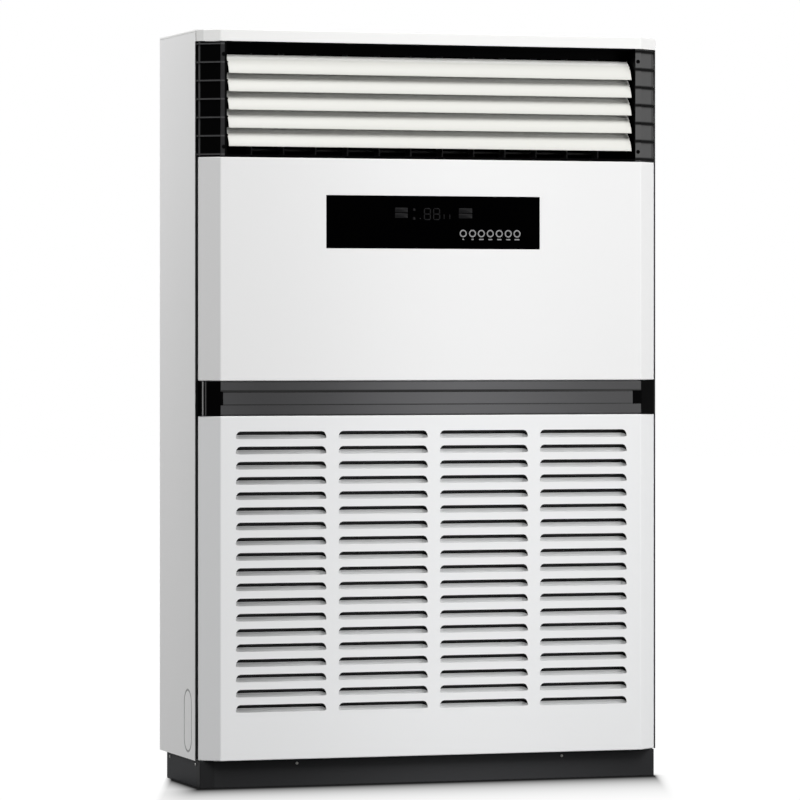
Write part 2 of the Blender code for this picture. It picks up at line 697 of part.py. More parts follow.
def make_outlet_corners():
    """Rounded black corner pieces with ribs round them, whose inner walls carry the slats' pins."""
    low = OUTLET_BOTTOM + SEAM
    high = OUTLET_TOP - SEAM
    flush = [(OPENING_HALF_WIDTH, POST_DEPTH - FIT), (OPENING_HALF_WIDTH, 0.0), *corner_path()]
    recessed = offset_path(flush, CORNER_RECESS)
    run = CORNER_HALF_WIDTH - FLAT_HALF_WIDTH
    step = CORNER_RECESS * math.hypot(run, CHAMFER_DEPTH) / run
    strip = [(OPENING_HALF_WIDTH, STRIP_RECESS), (FLAT_HALF_WIDTH, STRIP_RECESS), (FLAT_HALF_WIDTH, step)]
    outer = [flush[0], *strip, *recessed[3:]]
    inner = offset_path(flush, CORNER_RECESS + CORNER_WALL)
    inner[:2] = [(OPENING_HALF_WIDTH + CORNER_WALL, d) for _, d in inner[:2]]
    rib_outer = flush[1:-1]
    rib_inner = offset_path(flush, CORNER_RECESS + CORNER_WALL / 2)[1:-1]
    rib_inner[0] = (OPENING_HALF_WIDTH, rib_inner[0][1])
    rib_pitch = (OUTLET_HEIGHT - 2 * RIB_MARGIN) / (RIB_COUNT - 1)
    for name, side in (("outlet_corner_left", -1), ("outlet_corner_right", 1)):
        bm = bmesh.new()
        add_prism(bm, on_plan(mirrored(outer + inner[::-1], side), low), (0, 0, high - low))
        corner = solid(bm, name, BLACK_PLASTIC)
        ribs = bmesh.new()
        for i in range(RIB_COUNT):
            level = OUTLET_BOTTOM + RIB_MARGIN + i * rib_pitch - RIB_HEIGHT / 2
            add_prism(ribs, on_plan(mirrored(rib_outer + rib_inner[::-1], side), level), (0, 0, RIB_HEIGHT))
        boolean(corner, helper_object(ribs, name + "_ribs"), "UNION")
        holes = bmesh.new()
        reach = Vector((CORNER_WALL, 0, 0))
        for i in range(slat_count()):
            middle = side * (OPENING_HALF_WIDTH + CORNER_WALL / 2)
            at = Vector((middle, behind(SLAT_PIVOT_DEPTH), slat_pivot(i)))
            add_cylinder(holes, at - reach, at + reach, PIN_RADIUS + PIN_CLEARANCE)
        boolean(corner, helper_object(holes, name + "_pin_holes"), "DIFFERENCE")


def slat_outline():
    """Cross-section of a slat around its pivot, as (depth, level): a curved blade, thinner at its edges."""
    middle = (SLAT_LOW_ANGLE + SLAT_HIGH_ANGLE) / 2
    centre = (SLAT_RADIUS * math.cos(middle), -SLAT_RADIUS * math.sin(middle))
    faces = {1: [], -1: []}
    for i in range(SLAT_STEPS + 1):
        share = i / SLAT_STEPS
        angle = SLAT_LOW_ANGLE + share * (SLAT_HIGH_ANGLE - SLAT_LOW_ANGLE)
        half = (SLAT_EDGE_THICKNESS + (SLAT_THICKNESS - SLAT_EDGE_THICKNESS) * math.sin(math.pi * share)) / 2
        for face in faces:
            radius = SLAT_RADIUS + face * half
            faces[face].append((centre[0] - radius * math.cos(angle), centre[1] + radius * math.sin(angle)))
    return faces[1] + faces[-1][::-1]


def make_slats():
    """Curved slats; each object's origin is on its own pivot."""
    outline = slat_outline()
    half = OPENING_HALF_WIDTH - SLAT_END_GAP
    pin_end = OPENING_HALF_WIDTH + PIN_REACH
    for i in range(slat_count()):
        bm = bmesh.new()
        add_prism(bm, [(-half, d, z) for d, z in outline], (2 * half, 0, 0))
        slat = solid(bm, f"slat_{i + 1}", IVORY_PLASTIC)
        slat.location = (0, behind(SLAT_PIVOT_DEPTH), slat_pivot(i))
        pins = bmesh.new()
        for side in (-1, 1):
            add_cylinder(pins, (side * (half - PIN_RADIUS), 0, 0), (side * pin_end, 0, 0), PIN_RADIUS)
        helper = helper_object(pins, f"slat_{i + 1}_pins")
        helper.location = slat.location
        boolean(slat, helper, "UNION")


def duct_levels():
    """Outer bottom and top of the duct, just inside the flanges of the rails."""
    inset = RAIL_WALL + FIT + SEAM
    return OUTLET_BOTTOM + inset, OUTLET_TOP - inset


def make_outlet_duct():
    """An open-fronted box behind the slats."""
    low, high = duct_levels()
    half = OPENING_HALF_WIDTH - FIT
    bm = bmesh.new()
    add_box(bm, (-half, behind(DUCT_FRONT), low), (half, BACK_Y - DUCT_REAR_GAP, high))
    front = [face for face in bm.faces if face.calc_center_median().y < behind(DUCT_FRONT) + FIT]
    bmesh.ops.delete(bm, geom=front, context="FACES_ONLY")
    sheet(bm, "outlet_duct", BLACK_PLASTIC, DUCT_SHEET, (0, 1, 0))


def make_guide_vanes():
    """Upright vanes with pivots at both ends, all set by one link bar near their feet."""
    low, high = duct_levels()
    low += DUCT_SHEET + FIT
    high -= DUCT_SHEET + FIT
    count = copies_that_fit(2 * (OPENING_HALF_WIDTH - VANE_SIDE_GAP), VANE_PITCH)
    first = -(count - 1) / 2 * VANE_PITCH
    back = VANE_FRONT + VANE_LENGTH
    blades = bmesh.new()
    pivots = bmesh.new()
    for i in range(count):
        x = first + i * VANE_PITCH
        half = VANE_THICKNESS / 2
        add_box(blades, (x - half, behind(VANE_FRONT), low), (x + half, behind(back), high))
        pivot = behind(DUCT_FRONT + VANE_PIVOT_RADIUS)
        for base in (low, high - VANE_PIVOT_HEIGHT):
            top = (x, pivot, base + VANE_PIVOT_HEIGHT)
            add_cylinder(pivots, (x, pivot, base), top, VANE_PIVOT_RADIUS, LINK_SEGMENTS)
    vanes = solid(blades, "guide_vanes", BLACK_PLASTIC)
    boolean(vanes, helper_object(pivots, "vane_pivots"), "UNION")
    bar = bmesh.new()
    at = (behind(back - LINK_REAR_GAP), low + LINK_RISE)
    add_cylinder(bar, (first - LINK_RADIUS, *at), (-first + LINK_RADIUS, *at), LINK_RADIUS, LINK_SEGMENTS)
    boolean(vanes, helper_object(bar, "vane_link"), "UNION")


def make_mid_deck():
    """The shelf between the inlet and the upper chamber."""
    level = BAND_BOTTOM + DECK_RISE
    start = POST_DEPTH + POST_LENGTH + FIT
    end = DEPTH - 2 * SHEET - 2 * FIT
    path = [(start, level - DECK_FLANGE), (start, level), (end, level), (end, level - DECK_FLANGE)]
    bm = bmesh.new()
    add_strip(bm, [(-INNER_HALF_WIDTH, behind(d), z) for d, z in path], (2 * INNER_HALF_WIDTH, 0, 0))
    round_folds(bm)
    sheet(bm, "mid_deck", ZINC_STEEL, SHEET, (0, 0, 1))


def make_filters():
    """Two filter frames that stand on the lower flange of the inlet panel."""
    low = PANEL_BOTTOM + SEAM + SHEET + FIT
    top = BAND_BOTTOM - FILTER_TOP_GAP
    half = FLAT_HALF_WIDTH - SHEET - SEAM
    width = half - FIT
    wide = (width - 2 * FILTER_BORDER - (FILTER_CELLS_WIDE - 1) * FILTER_BAR) / FILTER_CELLS_WIDE
    high = (top - low - 2 * FILTER_BORDER - (FILTER_CELLS_HIGH - 1) * FILTER_BAR) / FILTER_CELLS_HIGH
    for name, left in (("air_filter_left", -half), ("air_filter_right", FIT)):
        bm = bmesh.new()
        rear = behind(FILTER_FRONT + FILTER_THICKNESS)
        add_box(bm, (left, behind(FILTER_FRONT), low), (left + width, rear, top))
        frame = solid(bm, name, FILTER_PLASTIC)
        cells = bmesh.new()
        for i in range(FILTER_CELLS_WIDE):
            for j in range(FILTER_CELLS_HIGH):
                x = left + FILTER_BORDER + i * (wide + FILTER_BAR)
                z = low + FILTER_BORDER + j * (high + FILTER_BAR)
                cell_back = behind(FILTER_FRONT + FILTER_THICKNESS / 2)
                add_box(cells, (x, behind(FILTER_FRONT - SHEET), z), (x + wide, cell_back, z + high))
        boolean(frame, helper_object(cells, name + "_cells"), "DIFFERENCE")


make_plinth()
make_base_pan()
make_posts()
make_side_panels()
make_back_panel()
make_top_cap()
make_lower_grille_panel()
make_upper_front_panel()
make_display_panel()
make_trim_band()
make_trim_ends()
make_outlet_rails()
make_outlet_corners()
make_slats()
make_outlet_duct()
make_guide_vanes()
make_mid_deck()
make_filters()
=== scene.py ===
"""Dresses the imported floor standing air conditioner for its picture.

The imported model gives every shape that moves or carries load. This script gives each of its
pieces a finish, and adds what is too fine for it: smooth slats, screw heads and the marks of the
control panel. Lengths are metres. X runs to the right as seen from the front, Y to the back and Z
up, with the origin on the floor.
"""

import json
import logging
import math
from abc import ABC, abstractmethod
from dataclasses import dataclass, field
from enum import Enum
from functools import cache
from typing import Any, Iterable, Sequence

import bmesh
import bpy
import numpy as np
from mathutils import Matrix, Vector
from numpy.typing import NDArray


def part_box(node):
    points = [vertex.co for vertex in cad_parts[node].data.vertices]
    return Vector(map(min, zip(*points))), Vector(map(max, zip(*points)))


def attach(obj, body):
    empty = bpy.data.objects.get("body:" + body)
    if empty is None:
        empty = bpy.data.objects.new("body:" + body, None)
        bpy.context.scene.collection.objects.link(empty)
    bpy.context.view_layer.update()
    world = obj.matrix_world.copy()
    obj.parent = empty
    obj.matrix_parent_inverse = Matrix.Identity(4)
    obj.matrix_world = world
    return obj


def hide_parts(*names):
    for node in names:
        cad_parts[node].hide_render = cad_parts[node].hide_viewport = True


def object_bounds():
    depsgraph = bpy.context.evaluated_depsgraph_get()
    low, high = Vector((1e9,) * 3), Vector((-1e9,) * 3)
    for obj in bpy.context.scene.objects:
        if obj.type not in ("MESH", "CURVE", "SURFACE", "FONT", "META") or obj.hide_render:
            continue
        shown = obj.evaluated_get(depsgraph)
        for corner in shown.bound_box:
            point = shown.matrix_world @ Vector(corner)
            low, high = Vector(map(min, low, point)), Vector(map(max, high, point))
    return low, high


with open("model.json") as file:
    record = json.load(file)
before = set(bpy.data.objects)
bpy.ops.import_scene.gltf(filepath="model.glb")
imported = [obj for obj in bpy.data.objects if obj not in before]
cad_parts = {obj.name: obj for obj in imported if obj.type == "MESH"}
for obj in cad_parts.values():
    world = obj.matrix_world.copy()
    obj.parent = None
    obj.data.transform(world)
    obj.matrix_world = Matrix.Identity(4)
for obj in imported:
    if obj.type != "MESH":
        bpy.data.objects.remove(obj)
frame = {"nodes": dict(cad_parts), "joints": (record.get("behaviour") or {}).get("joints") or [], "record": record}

LOG = logging.getLogger("air_conditioner")
FRONT_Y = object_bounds()[0].y
SMOOTH_BELOW = math.radians(35)
CABINET = "cabinet"

Array = NDArray[np.float64]
Colour = tuple[float, float, float]
Point = tuple[float, float, float]
Socket = bpy.types.NodeSocket

# The Mix node's colour sockets, by number because its other kinds use the same names.
MIX_LOW, MIX_HIGH, MIX_COLOUR = 6, 7, 2

WHITE: Colour = (1.0, 1.0, 1.0)
NO_LIGHT: Colour = (0.0, 0.0, 0.0)
JET: Colour = (0.0005, 0.0005, 0.0006)


class Side(Enum):
    """Left or right, as the sign of X."""

    LEFT = -1
    RIGHT = 1


class Slot(Enum):
    """The record's material slots."""

    WHITE_ENAMEL = "white_enamel"
    GREY_ENAMEL = "grey_enamel"
    GREY_TRIM = "grey_trim"
    BLACK_PLASTIC = "black_plastic"
    GLOSS_BLACK = "gloss_black"
    IVORY_PLASTIC = "ivory_plastic"
    ZINC_STEEL = "zinc_steel"
    FILTER_PLASTIC = "filter_plastic"


@dataclass(frozen=True)
class Signal:
    """A node's output whose arithmetic adds Math nodes to its graph."""

    graph: "Graph"
    socket: Socket

    def _math(
        self, operation: str, first: "Signal | float", second: "Signal | float" = 0.0
    ) -> "Signal":
        """Adds one Math node.

        Args:
            operation: The node's operation.
            first: Its first value.
            second: Its second value, if it takes one.

        Returns:
            The result.
        """
        return self.graph.add("ShaderNodeMath", {"operation": operation}, {0: first, 1: second})

    def __add__(self, other: "Signal | float") -> "Signal":
        """The sum."""
        return self._math("ADD", self, other)

    __radd__ = __add__

    def __sub__(self, other: "Signal | float") -> "Signal":
        """The difference."""
        return self._math("SUBTRACT", self, other)

    def __rsub__(self, other: float) -> "Signal":
        """The difference from a number."""
        return self._math("SUBTRACT", other, self)

    def __neg__(self) -> "Signal":
        """The value with its sign turned."""
        return self * -1.0

    def __mul__(self, other: "Signal | float") -> "Signal":
        """The product."""
        return self._math("MULTIPLY", self, other)

    __rmul__ = __mul__

    def __gt__(self, other: "Signal | float") -> "Signal":
        """One where this is greater, otherwise nought."""
        return self._math("GREATER_THAN", self, other)

    def __lt__(self, other: "Signal | float") -> "Signal":
        """One where this is smaller, otherwise nought."""
        return self._math("LESS_THAN", self, other)

    def __pow__(self, exponent: float) -> "Signal":
        """The power."""
        return self._math("POWER", self, exponent)

    def __abs__(self) -> "Signal":
        """The value without its sign."""
        return self._math("ABSOLUTE", self)

    def wave(self) -> "Signal":
        """The sine of the value."""
        return self._math("SINE", self)

    def exp(self) -> "Signal":
        """The exponential of the value."""
        return self._math("EXPONENT", self)

    def off_pitch(self, pitch: float) -> "Signal":
        """How far the value lies from the nearest multiple of the pitch."""
        return self._math("PINGPONG", self, pitch / 2)

    def within(self, reach: float, soft: float = 0.0004) -> "Signal":
        """One where the value is nearer to nought than the reach, with an edge this soft."""
        return ((reach - abs(self)) * (1 / soft) + 0.5).clamped()

    def past(self, start: float, fade: float) -> "Signal":
        """Nought up to the start, one from a fade's length past it, and even between them."""
        return ((self - start) * (1 / fade)).clamped()

    def swung(self, swing: float) -> "Signal":
        """The value's difference from a half, times the swing."""
        return (self - 0.5) * swing

    def at_least(self, floor: float) -> "Signal":
        """The value, or the floor where that is greater."""
        return self._math("MAXIMUM", self, floor)

    def clamped(self) -> "Signal":
        """The value held between nought and one."""
        return self.graph.add("ShaderNodeClamp", values={"Value": self})


@dataclass(frozen=True)
class Graph:
    """A node tree, with one method for any kind of node."""

    tree: bpy.types.NodeTree

    def node(
        self,
        kind: str,
        settings: dict[str, Any] | None = None,
        values: dict[str | int, Any] | None = None,
    ) -> bpy.types.Node:
        """Adds a node.

        Args:
            kind: The node's type.
            settings: Its properties, set before its sockets.
            values: A number, a tuple or a Signal for each socket that is set.

        Returns:
            The node.
        """
        made = self.tree.nodes.new(kind)
        for key, value in (settings or {}).items():
            setattr(made, key, value)
        for key, value in (values or {}).items():
            self.join(value, made.inputs[key])
        return made

    def add(
        self,
        kind: str,
        settings: dict[str, Any] | None = None,
        values: dict[str | int, Any] | None = None,
        output: str | int = 0,
    ) -> Signal:
        """Adds a node for the sake of one output.

        Args:
            kind: The node's type.
            settings: Its properties.
            values: What its sockets take.
            output: The name or number of the output.

        Returns:
            The output.
        """
        return Signal(self, self.node(kind, settings, values).outputs[output])

    def join(self, value: Any, socket: Socket) -> None:
        """Links a Signal to a socket, or sets the socket to a plain value.

        Args:
            value: The Signal, number or tuple.
            socket: The input that takes it.
        """
        if isinstance(value, Signal):
            self.tree.links.new(value.socket, socket)
        elif socket.type == "RGBA":
            socket.default_value = (*value, 1.0)
        else:
            socket.default_value = value

    def place(self) -> Signal:
        """The point on the piece, in Object coordinates."""
        return self.add("ShaderNodeTexCoord", output="Object")

    def axes(self, place: Signal) -> tuple[Signal, ...]:
        """Splits a point.

        Args:
            place: The point.

        Returns:
            Its X, Y and Z.
        """
        split = self.node("ShaderNodeSeparateXYZ", values={0: place})
        return tuple(Signal(self, output) for output in split.outputs)

    def noise(self, place: Signal, scale: float, detail: float = 2.0) -> Signal:
        """Smooth noise from about 0.3 to 0.7.

        Args:
            place: The point that it is read at.
            scale: How many lumps go to a metre.
            detail: How many finer octaves it has.

        Returns:
            The noise.
        """
        values = {"Vector": place, "Scale": scale, "Detail": detail}
        return self.add("ShaderNodeTexNoise", values=values)

    def tint(self, share: Signal, low: Colour | Signal, high: Colour | Signal) -> Signal:
        """A colour between two others.

        Args:
            share: Nought gives the first and one the second.
            low: The first colour.
            high: The second colour.

        Returns:
            The mixed colour.
        """
        values = {0: share, MIX_LOW: low, MIX_HIGH: high}
        return self.add("ShaderNodeMix", {"data_type": "RGBA"}, values, MIX_COLOUR)

    def shades(self, share: Signal, colour: Colour, dark: float, bright: float) -> Signal:
        """A colour between two shades of itself.

        Args:
            share: Nought gives the dark one and one the bright one.
            colour: The colour.
            dark: The dark shade, as a share of the colour.
            bright: The bright shade, as a share of the colour.

        Returns:
            The mixed colour.
        """
        return self.tint(share, shade(colour, dark), shade(colour, bright))

    def bump(self, height: Signal, depth: float) -> Signal:
        """A bump.

        Args:
            height: The height as a share of the depth.
            depth: The full height in metres.

        Returns:
            The bumped normal.
        """
        return self.add("ShaderNodeBump", values={"Height": height, "Distance": depth})


def shade(colour: Colour, share: float) -> Colour:
    """The colour, brighter or darker by a share."""
    return tuple(channel * share for channel in colour)


@dataclass(frozen=True)
class PaintedSheen:
    """Painted sheen: brightness across X of 1 + swing cos(pi (x - middle) / half)."""

    swing: float
    middle: float
    half: float

    def tinted(self, graph: Graph, x: Signal, colour: Colour) -> Signal:
        """The colour with the painted sheen's change of brightness.

        Args:
            graph: The nodes that it is added to.
            x: The place across.
            colour: The colour where the brightness is one.

        Returns:
            The changed colour.
        """
        phase = (x - self.middle) * (math.pi / self.half) + math.pi / 2
        return graph.shades(phase.wave() * 0.5 + 0.5, colour, 1 - self.swing, 1 + self.swing)


@dataclass(frozen=True)
class Finish(ABC):
    """A Principled BSDF whose colour, roughness and normal vary as the real surface's do."""

    name: str
    colour: Colour
    roughness: float
    metallic: float = 0.0
    gloss: float = 0.5

    def material(self) -> bpy.types.Material:
        """Builds the material.

        Returns:
            The material, with the constants on the shader's own sockets.
        """
        made = bpy.data.materials.new(self.name)
        made.use_nodes = True
        made.diffuse_color = (*self.colour, 1.0)
        shader = made.node_tree.nodes["Principled BSDF"]
        shader.inputs["Metallic"].default_value = self.metallic
        shader.inputs["Specular IOR Level"].default_value = self.gloss
        graph = Graph(made.node_tree)
        for socket, value in self.surface(graph, graph.place()).items():
            graph.join(value, shader.inputs[socket])
        return made

    @abstractmethod
    def surface(self, graph: Graph, place: Signal) -> dict[str, Any]:
        """What feeds the shader's sockets.

        Args:
            graph: The material's nodes.
            place: The point on the piece.

        Returns:
            A value or Signal for each socket.
        """


@dataclass(frozen=True)
class PowderCoat(Finish):
    """Baked powder paint on sheet steel: orange peel, an uneven film and waves in the sheet."""

    peel_scale: float = 650.0
    peel_depth: float = 0.00003
    peel_swing: float = 0.12
    film_scale: float = 2.2
    film: float = 0.03
    film_swing: float = 0.06
    wave_scale: float = 3.5
    wave_depth: float = 0.0002

    def surface(self, graph: Graph, place: Signal) -> dict[str, Any]:
        """Film thickness tints the colour; peel and waves bump it.

        See the base class for Args and Returns.
        """
        film = graph.noise(place, self.film_scale, detail=3.0)
        peel = graph.noise(place, self.peel_scale)
        sag = graph.noise(place, self.wave_scale, detail=1.0)
        height = peel + sag * (self.wave_depth / self.peel_depth)
        return {
            "Base Color": graph.shades(film, self.colour, 1 - self.film, 1 + self.film),
            "Roughness": self.roughness + peel.swung(self.peel_swing) + film.swung(self.film_swing),
            "Normal": graph.bump(height, self.peel_depth),
        }


@dataclass(frozen=True)
class Moulding(Finish):
    """Moulded plastic: a fine spark-eroded grain and slow changes of tone along the flow."""

    grain_scale: float = 900.0
    grain_depth: float = 0.00004
    grain_swing: float = 0.14
    flow_scale: float = 5.0
    flow_swing: float = 0.08
    tone: float = 0.10

    def surface(self, graph: Graph, place: Signal) -> dict[str, Any]:
        """Grain bumps the surface, and the flow varies its tone and gloss.

        See the base class for Args and Returns.
        """
        grain = graph.noise(place, self.grain_scale, detail=3.0)
        flow = graph.noise(place, self.flow_scale)
        gloss = grain.swung(self.grain_swing) + flow.swung(self.flow_swing)
        return {
            "Base Color": graph.shades(flow, self.colour, 1 - self.tone, 1 + self.tone),
            "Roughness": self.roughness + gloss,
            "Normal": graph.bump(grain, self.grain_depth),
        }


@dataclass(frozen=True)
class FoldedCoat(PowderCoat):
    """Powder paint: a painted sheen, and painted shade where the panel folds back into the joint."""

    fold_across: float = 0.5880
    fold_depth: float = FRONT_Y + 0.0372
    painted_shade: Colour = (0.010, 0.010, 0.010)
    sheen: PaintedSheen = PaintedSheen(0.045, 0.05, 0.60)

    def surface(self, graph: Graph, place: Signal) -> dict[str, Any]:
        """The fold is where |x| and y are both over its limits.

        See the base class for Args and Returns.
        """
        sockets = super().surface(graph, place)
        x, y, _ = graph.axes(place)
        # The fold is painted near black as painted shade in the joint, over the painted sheen.
        fold = (abs(x) > self.fold_across) * (y > self.fold_depth)
        sheen = self.sheen.tinted(graph, x, self.colour)
        sockets["Base Color"] = graph.tint(fold, sheen, self.painted_shade)
        return sockets


@dataclass(frozen=True)
class LouvreCoat(FoldedCoat):
    """Powder paint with painted shade on the walls inside the louvres, deepest at the left."""

    first_top: float = 0.8725
    row_pitch: float = 0.03712
    louvres_across: float = 0.5300
    shade_depth: float = FRONT_Y + 0.0010
    shade_from: float = 0.0092
    shade_fade: float = 0.0022
    recess_shade: float = 0.22
    recess_shade_at_left: float = 0.22
    left_from: float = 0.30
    left_fade: float = 0.20

    def surface(self, graph: Graph, place: Signal) -> dict[str, Any]:
        """Painted shade lies behind the sheet, a little way off each row's top, and darkens by its share.

        See the base class for Args and Returns.
        """
        sockets = super().surface(graph, place)
        x, y, z = graph.axes(place)
        lies = (y > self.shade_depth) * (abs(x) < self.louvres_across)
        off_top = (self.first_top - z).off_pitch(self.row_pitch)
        dust_and_shade = lies * off_top.past(self.shade_from, self.shade_fade)
        left = (-x).past(self.left_from, self.left_fade)
        # Painted shade in the louvre recesses, deeper at the left where less light reaches.
        share = dust_and_shade * (self.recess_shade + self.recess_shade_at_left * left)
        sockets["Base Color"] = graph.tint(share, sockets["Base Color"], NO_LIGHT)
        return sockets


@dataclass(frozen=True)
class StampedCoat(PowderCoat):
    """Powder paint with painted shade in the knock-out's groove and along the panel's front edge."""

    middle_y: float = FRONT_Y + 0.1096
    middle_z: float = 0.1610
    straight: float = 0.0420
    groove_radius: float = 0.0335
    groove_half: float = 0.0026
    groove_soft: float = 0.0026
    painted_shade: Colour = (0.26, 0.26, 0.26)
    edge_depth: float = FRONT_Y + 0.0430
    edge_top: float = 1.8257
    edge_shade: Colour = (0.03, 0.03, 0.03)

    def surface(self, graph: Graph, place: Signal) -> dict[str, Any]:
        """The groove is where d = sqrt((y - y0)^2 + max(|z - z0| - straight, 0)^2) is its radius.

        See the base class for Args and Returns.
        """
        sockets = super().surface(graph, place)
        _, y, z = graph.axes(place)
        rise = (abs(z - self.middle_z) - self.straight).at_least(0.0)
        distance = ((y - self.middle_y) ** 2.0 + rise**2.0) ** 0.5
        groove = (distance - self.groove_radius).within(self.groove_half, self.groove_soft)
        # Painted shade: the knock-out's groove and the front edge beside the joint are painted dark, as their
        # shade.
        film = graph.tint(groove, sockets["Base Color"], self.painted_shade)
        edge = (y < self.edge_depth) * (z < self.edge_top)
        sockets["Base Color"] = graph.tint(edge, film, self.edge_shade)
        return sockets


@dataclass(frozen=True)
class BandMoulding(Moulding):
    """Trim band: painted shade in grooves and edge steps, a painted sheen strongest right of middle."""

    lines: tuple[tuple[float, float, float], ...] = (
        (0.9105, 0.0024, 0.75),
        (0.9376, 0.0014, 0.80),
        (0.9704, 0.0032, 1.00),
        (0.9955, 0.0024, 0.75),
    )
    sheen: PaintedSheen = PaintedSheen(0.48, 0.06, 0.50)
    groove_shade: Colour = (0.004, 0.004, 0.004)

    def surface(self, graph: Graph, place: Signal) -> dict[str, Any]:
        """Each line of painted shade is (level, half width, share).

        See the base class for Args and Returns.
        """
        sockets = super().surface(graph, place)
        x, _, z = graph.axes(place)
        groove_shade = sum((z - level).within(half) * share for level, half, share in self.lines)
        sheen = self.sheen.tinted(graph, x, self.colour)
        sockets["Base Color"] = graph.tint(groove_shade.clamped(), sheen, self.groove_shade)
        return sockets


@dataclass(frozen=True)
class PaintedSheenCoat(PowderCoat):
    """Powder paint on a long piece: a painted sheen, and painted brightness of its own at the left end."""

    sheen: PaintedSheen = PaintedSheen(0.30, 0.10, 0.62)
    painted_end_brightness: float = 1.0
    end_across: tuple[float, float] = (-0.5830, -0.5467)

    def surface(self, graph: Graph, place: Signal) -> dict[str, Any]:
        """The end lies where x is between its limits.

        See the base class for Args and Returns.
        """
        sockets = super().surface(graph, place)
        x = graph.axes(place)[0]
        end = (x > self.end_across[0]) * (x < self.end_across[1])
        sheen = self.sheen.tinted(graph, x, self.colour)
        sockets["Base Color"] = graph.tint(end, sheen, shade(self.colour, self.painted_end_brightness))
        return sockets


@dataclass(frozen=True)
class EdgedMoulding(Moulding):
    """A black end piece with painted highlights: upright lines where its rounding catches the light."""

    edges: tuple[tuple[float, float], ...] = ()
    edge_half: float = 0.0012
    bright: Colour = (0.30, 0.30, 0.30)

    def surface(self, graph: Graph, place: Signal) -> dict[str, Any]:
        """Each painted highlight is (x, share of the bright colour).

        See the base class for Args and Returns.
        """
        sockets = super().surface(graph, place)
        x = graph.axes(place)[0]
        half = self.edge_half
        light = sum((x - at).within(half, half) * share for at, share in self.edges)
        sockets["Base Color"] = graph.tint(light.clamped(), self.colour, self.bright)
        return sockets


@dataclass(frozen=True)
class SlatMoulding(Moulding):
    """A slat's plastic, painted paler where the slat above shades it, as painted fill light."""

    # Painted light: the blade's upper part, shaded by the slat above, is painted this much paler.
    pale: Colour = (0.95, 0.95, 0.92)
    painted_light_depth: float = FRONT_Y + 0.0243
    painted_light_fade: float = 0.006

    def surface(self, graph: Graph, place: Signal) -> dict[str, Any]:
        """The share of painted light is (y - depth) / fade, held between nought and one.

        See the base class for Args and Returns.
        """
        sockets = super().surface(graph, place)
        covered = graph.axes(place)[1].past(self.painted_light_depth, self.painted_light_fade)
        sockets["Base Color"] = graph.tint(covered, sockets["Base Color"], self.pale)
        return sockets


@dataclass(frozen=True)
class RibbedMoulding(Moulding):
    """An outlet corner piece with painted light on its ribs, bead and flat strip, and painted shade inside."""

    strip: Colour = NO_LIGHT
    strip_edge: float = 0.5467
    strip_inner: float = 0.5320
    rib: Colour = NO_LIGHT
    rib_half: float = 0.0018
    rib_first: float = 1.5495
    rib_pitch: float = 0.0450
    bead: Colour = NO_LIGHT
    bead_across: float = 0.5915
    bead_half: float = 0.0018
    bead_soft: float = 0.0008
    # Painted shade: the inner part of the piece, inside the outlet.
    dark: Colour = (0.0005, 0.0005, 0.0005)

    def surface(self, graph: Graph, place: Signal) -> dict[str, Any]:
        """Ribs lie where z is near first + n pitch, and the rest follows |x| only.

        The strip goes from its edge in to its inner side, past which all is painted shade, and the bead
        lies at its own line. See the base class for Args and Returns.
        """
        sockets = super().surface(graph, place)
        x, _, z = graph.axes(place)
        flat = x.within(self.strip_edge)
        rib = (z - self.rib_first).off_pitch(self.rib_pitch).within(self.rib_half, self.rib_half)
        bead = (abs(x) - self.bead_across).within(self.bead_half, self.bead_soft)
        plain = graph.tint(bead, graph.tint(flat, self.colour, self.strip), self.bead)
        inside = abs(x) < self.strip_inner
        sockets["Base Color"] = graph.tint(inside, graph.tint(rib, plain, self.rib), self.dark)
        return sockets


@dataclass(frozen=True)
class SmokedPane(Finish):
    """The polished black control panel, with a faint haze of wiping."""

    stretch: Point = (3.0, 20.0, 40.0)
    haze: float = 0.05
    haze_middle: float = 0.4
    dark: float = 0.8
    bright: float = 1.2

    def surface(self, graph: Graph, place: Signal) -> dict[str, Any]:
        """Wiping marks run along X, and vary the gloss and, a little, the tone.

        See the base class for Args and Returns.
        """
        marks = graph.add("ShaderNodeMapping", values={"Vector": place, "Scale": self.stretch})
        wiped = graph.noise(marks, 1.0, detail=4.0)
        return {
            "Base Color": graph.shades(wiped, self.colour, self.dark, self.bright),
            "Roughness": self.roughness + (wiped - self.haze_middle) * self.haze,
        }


@dataclass(frozen=True)
class ZincSheet(Finish):
    """Galvanised sheet: crystal spangles of slightly different brightness and gloss."""

    spangle_scale: float = 140.0
    spangle_swing: float = 0.2
    dark: float = 0.82
    bright: float = 1.15
    grain_scale: float = 500.0
    grain_depth: float = 0.00002

    def surface(self, graph: Graph, place: Signal) -> dict[str, Any]:
        """Each Voronoi cell is one crystal. See the base class for Args and Returns."""
        values = {"Vector": place, "Scale": self.spangle_scale}
        cells = graph.add("ShaderNodeTexVoronoi", values=values, output="Color")
        crystal = graph.axes(cells)[0]
        return {
            "Base Color": graph.shades(crystal, self.colour, self.dark, self.bright),
            "Roughness": self.roughness + crystal.swung(self.spangle_swing),
            "Normal": graph.bump(graph.noise(place, self.grain_scale), self.grain_depth),
        }


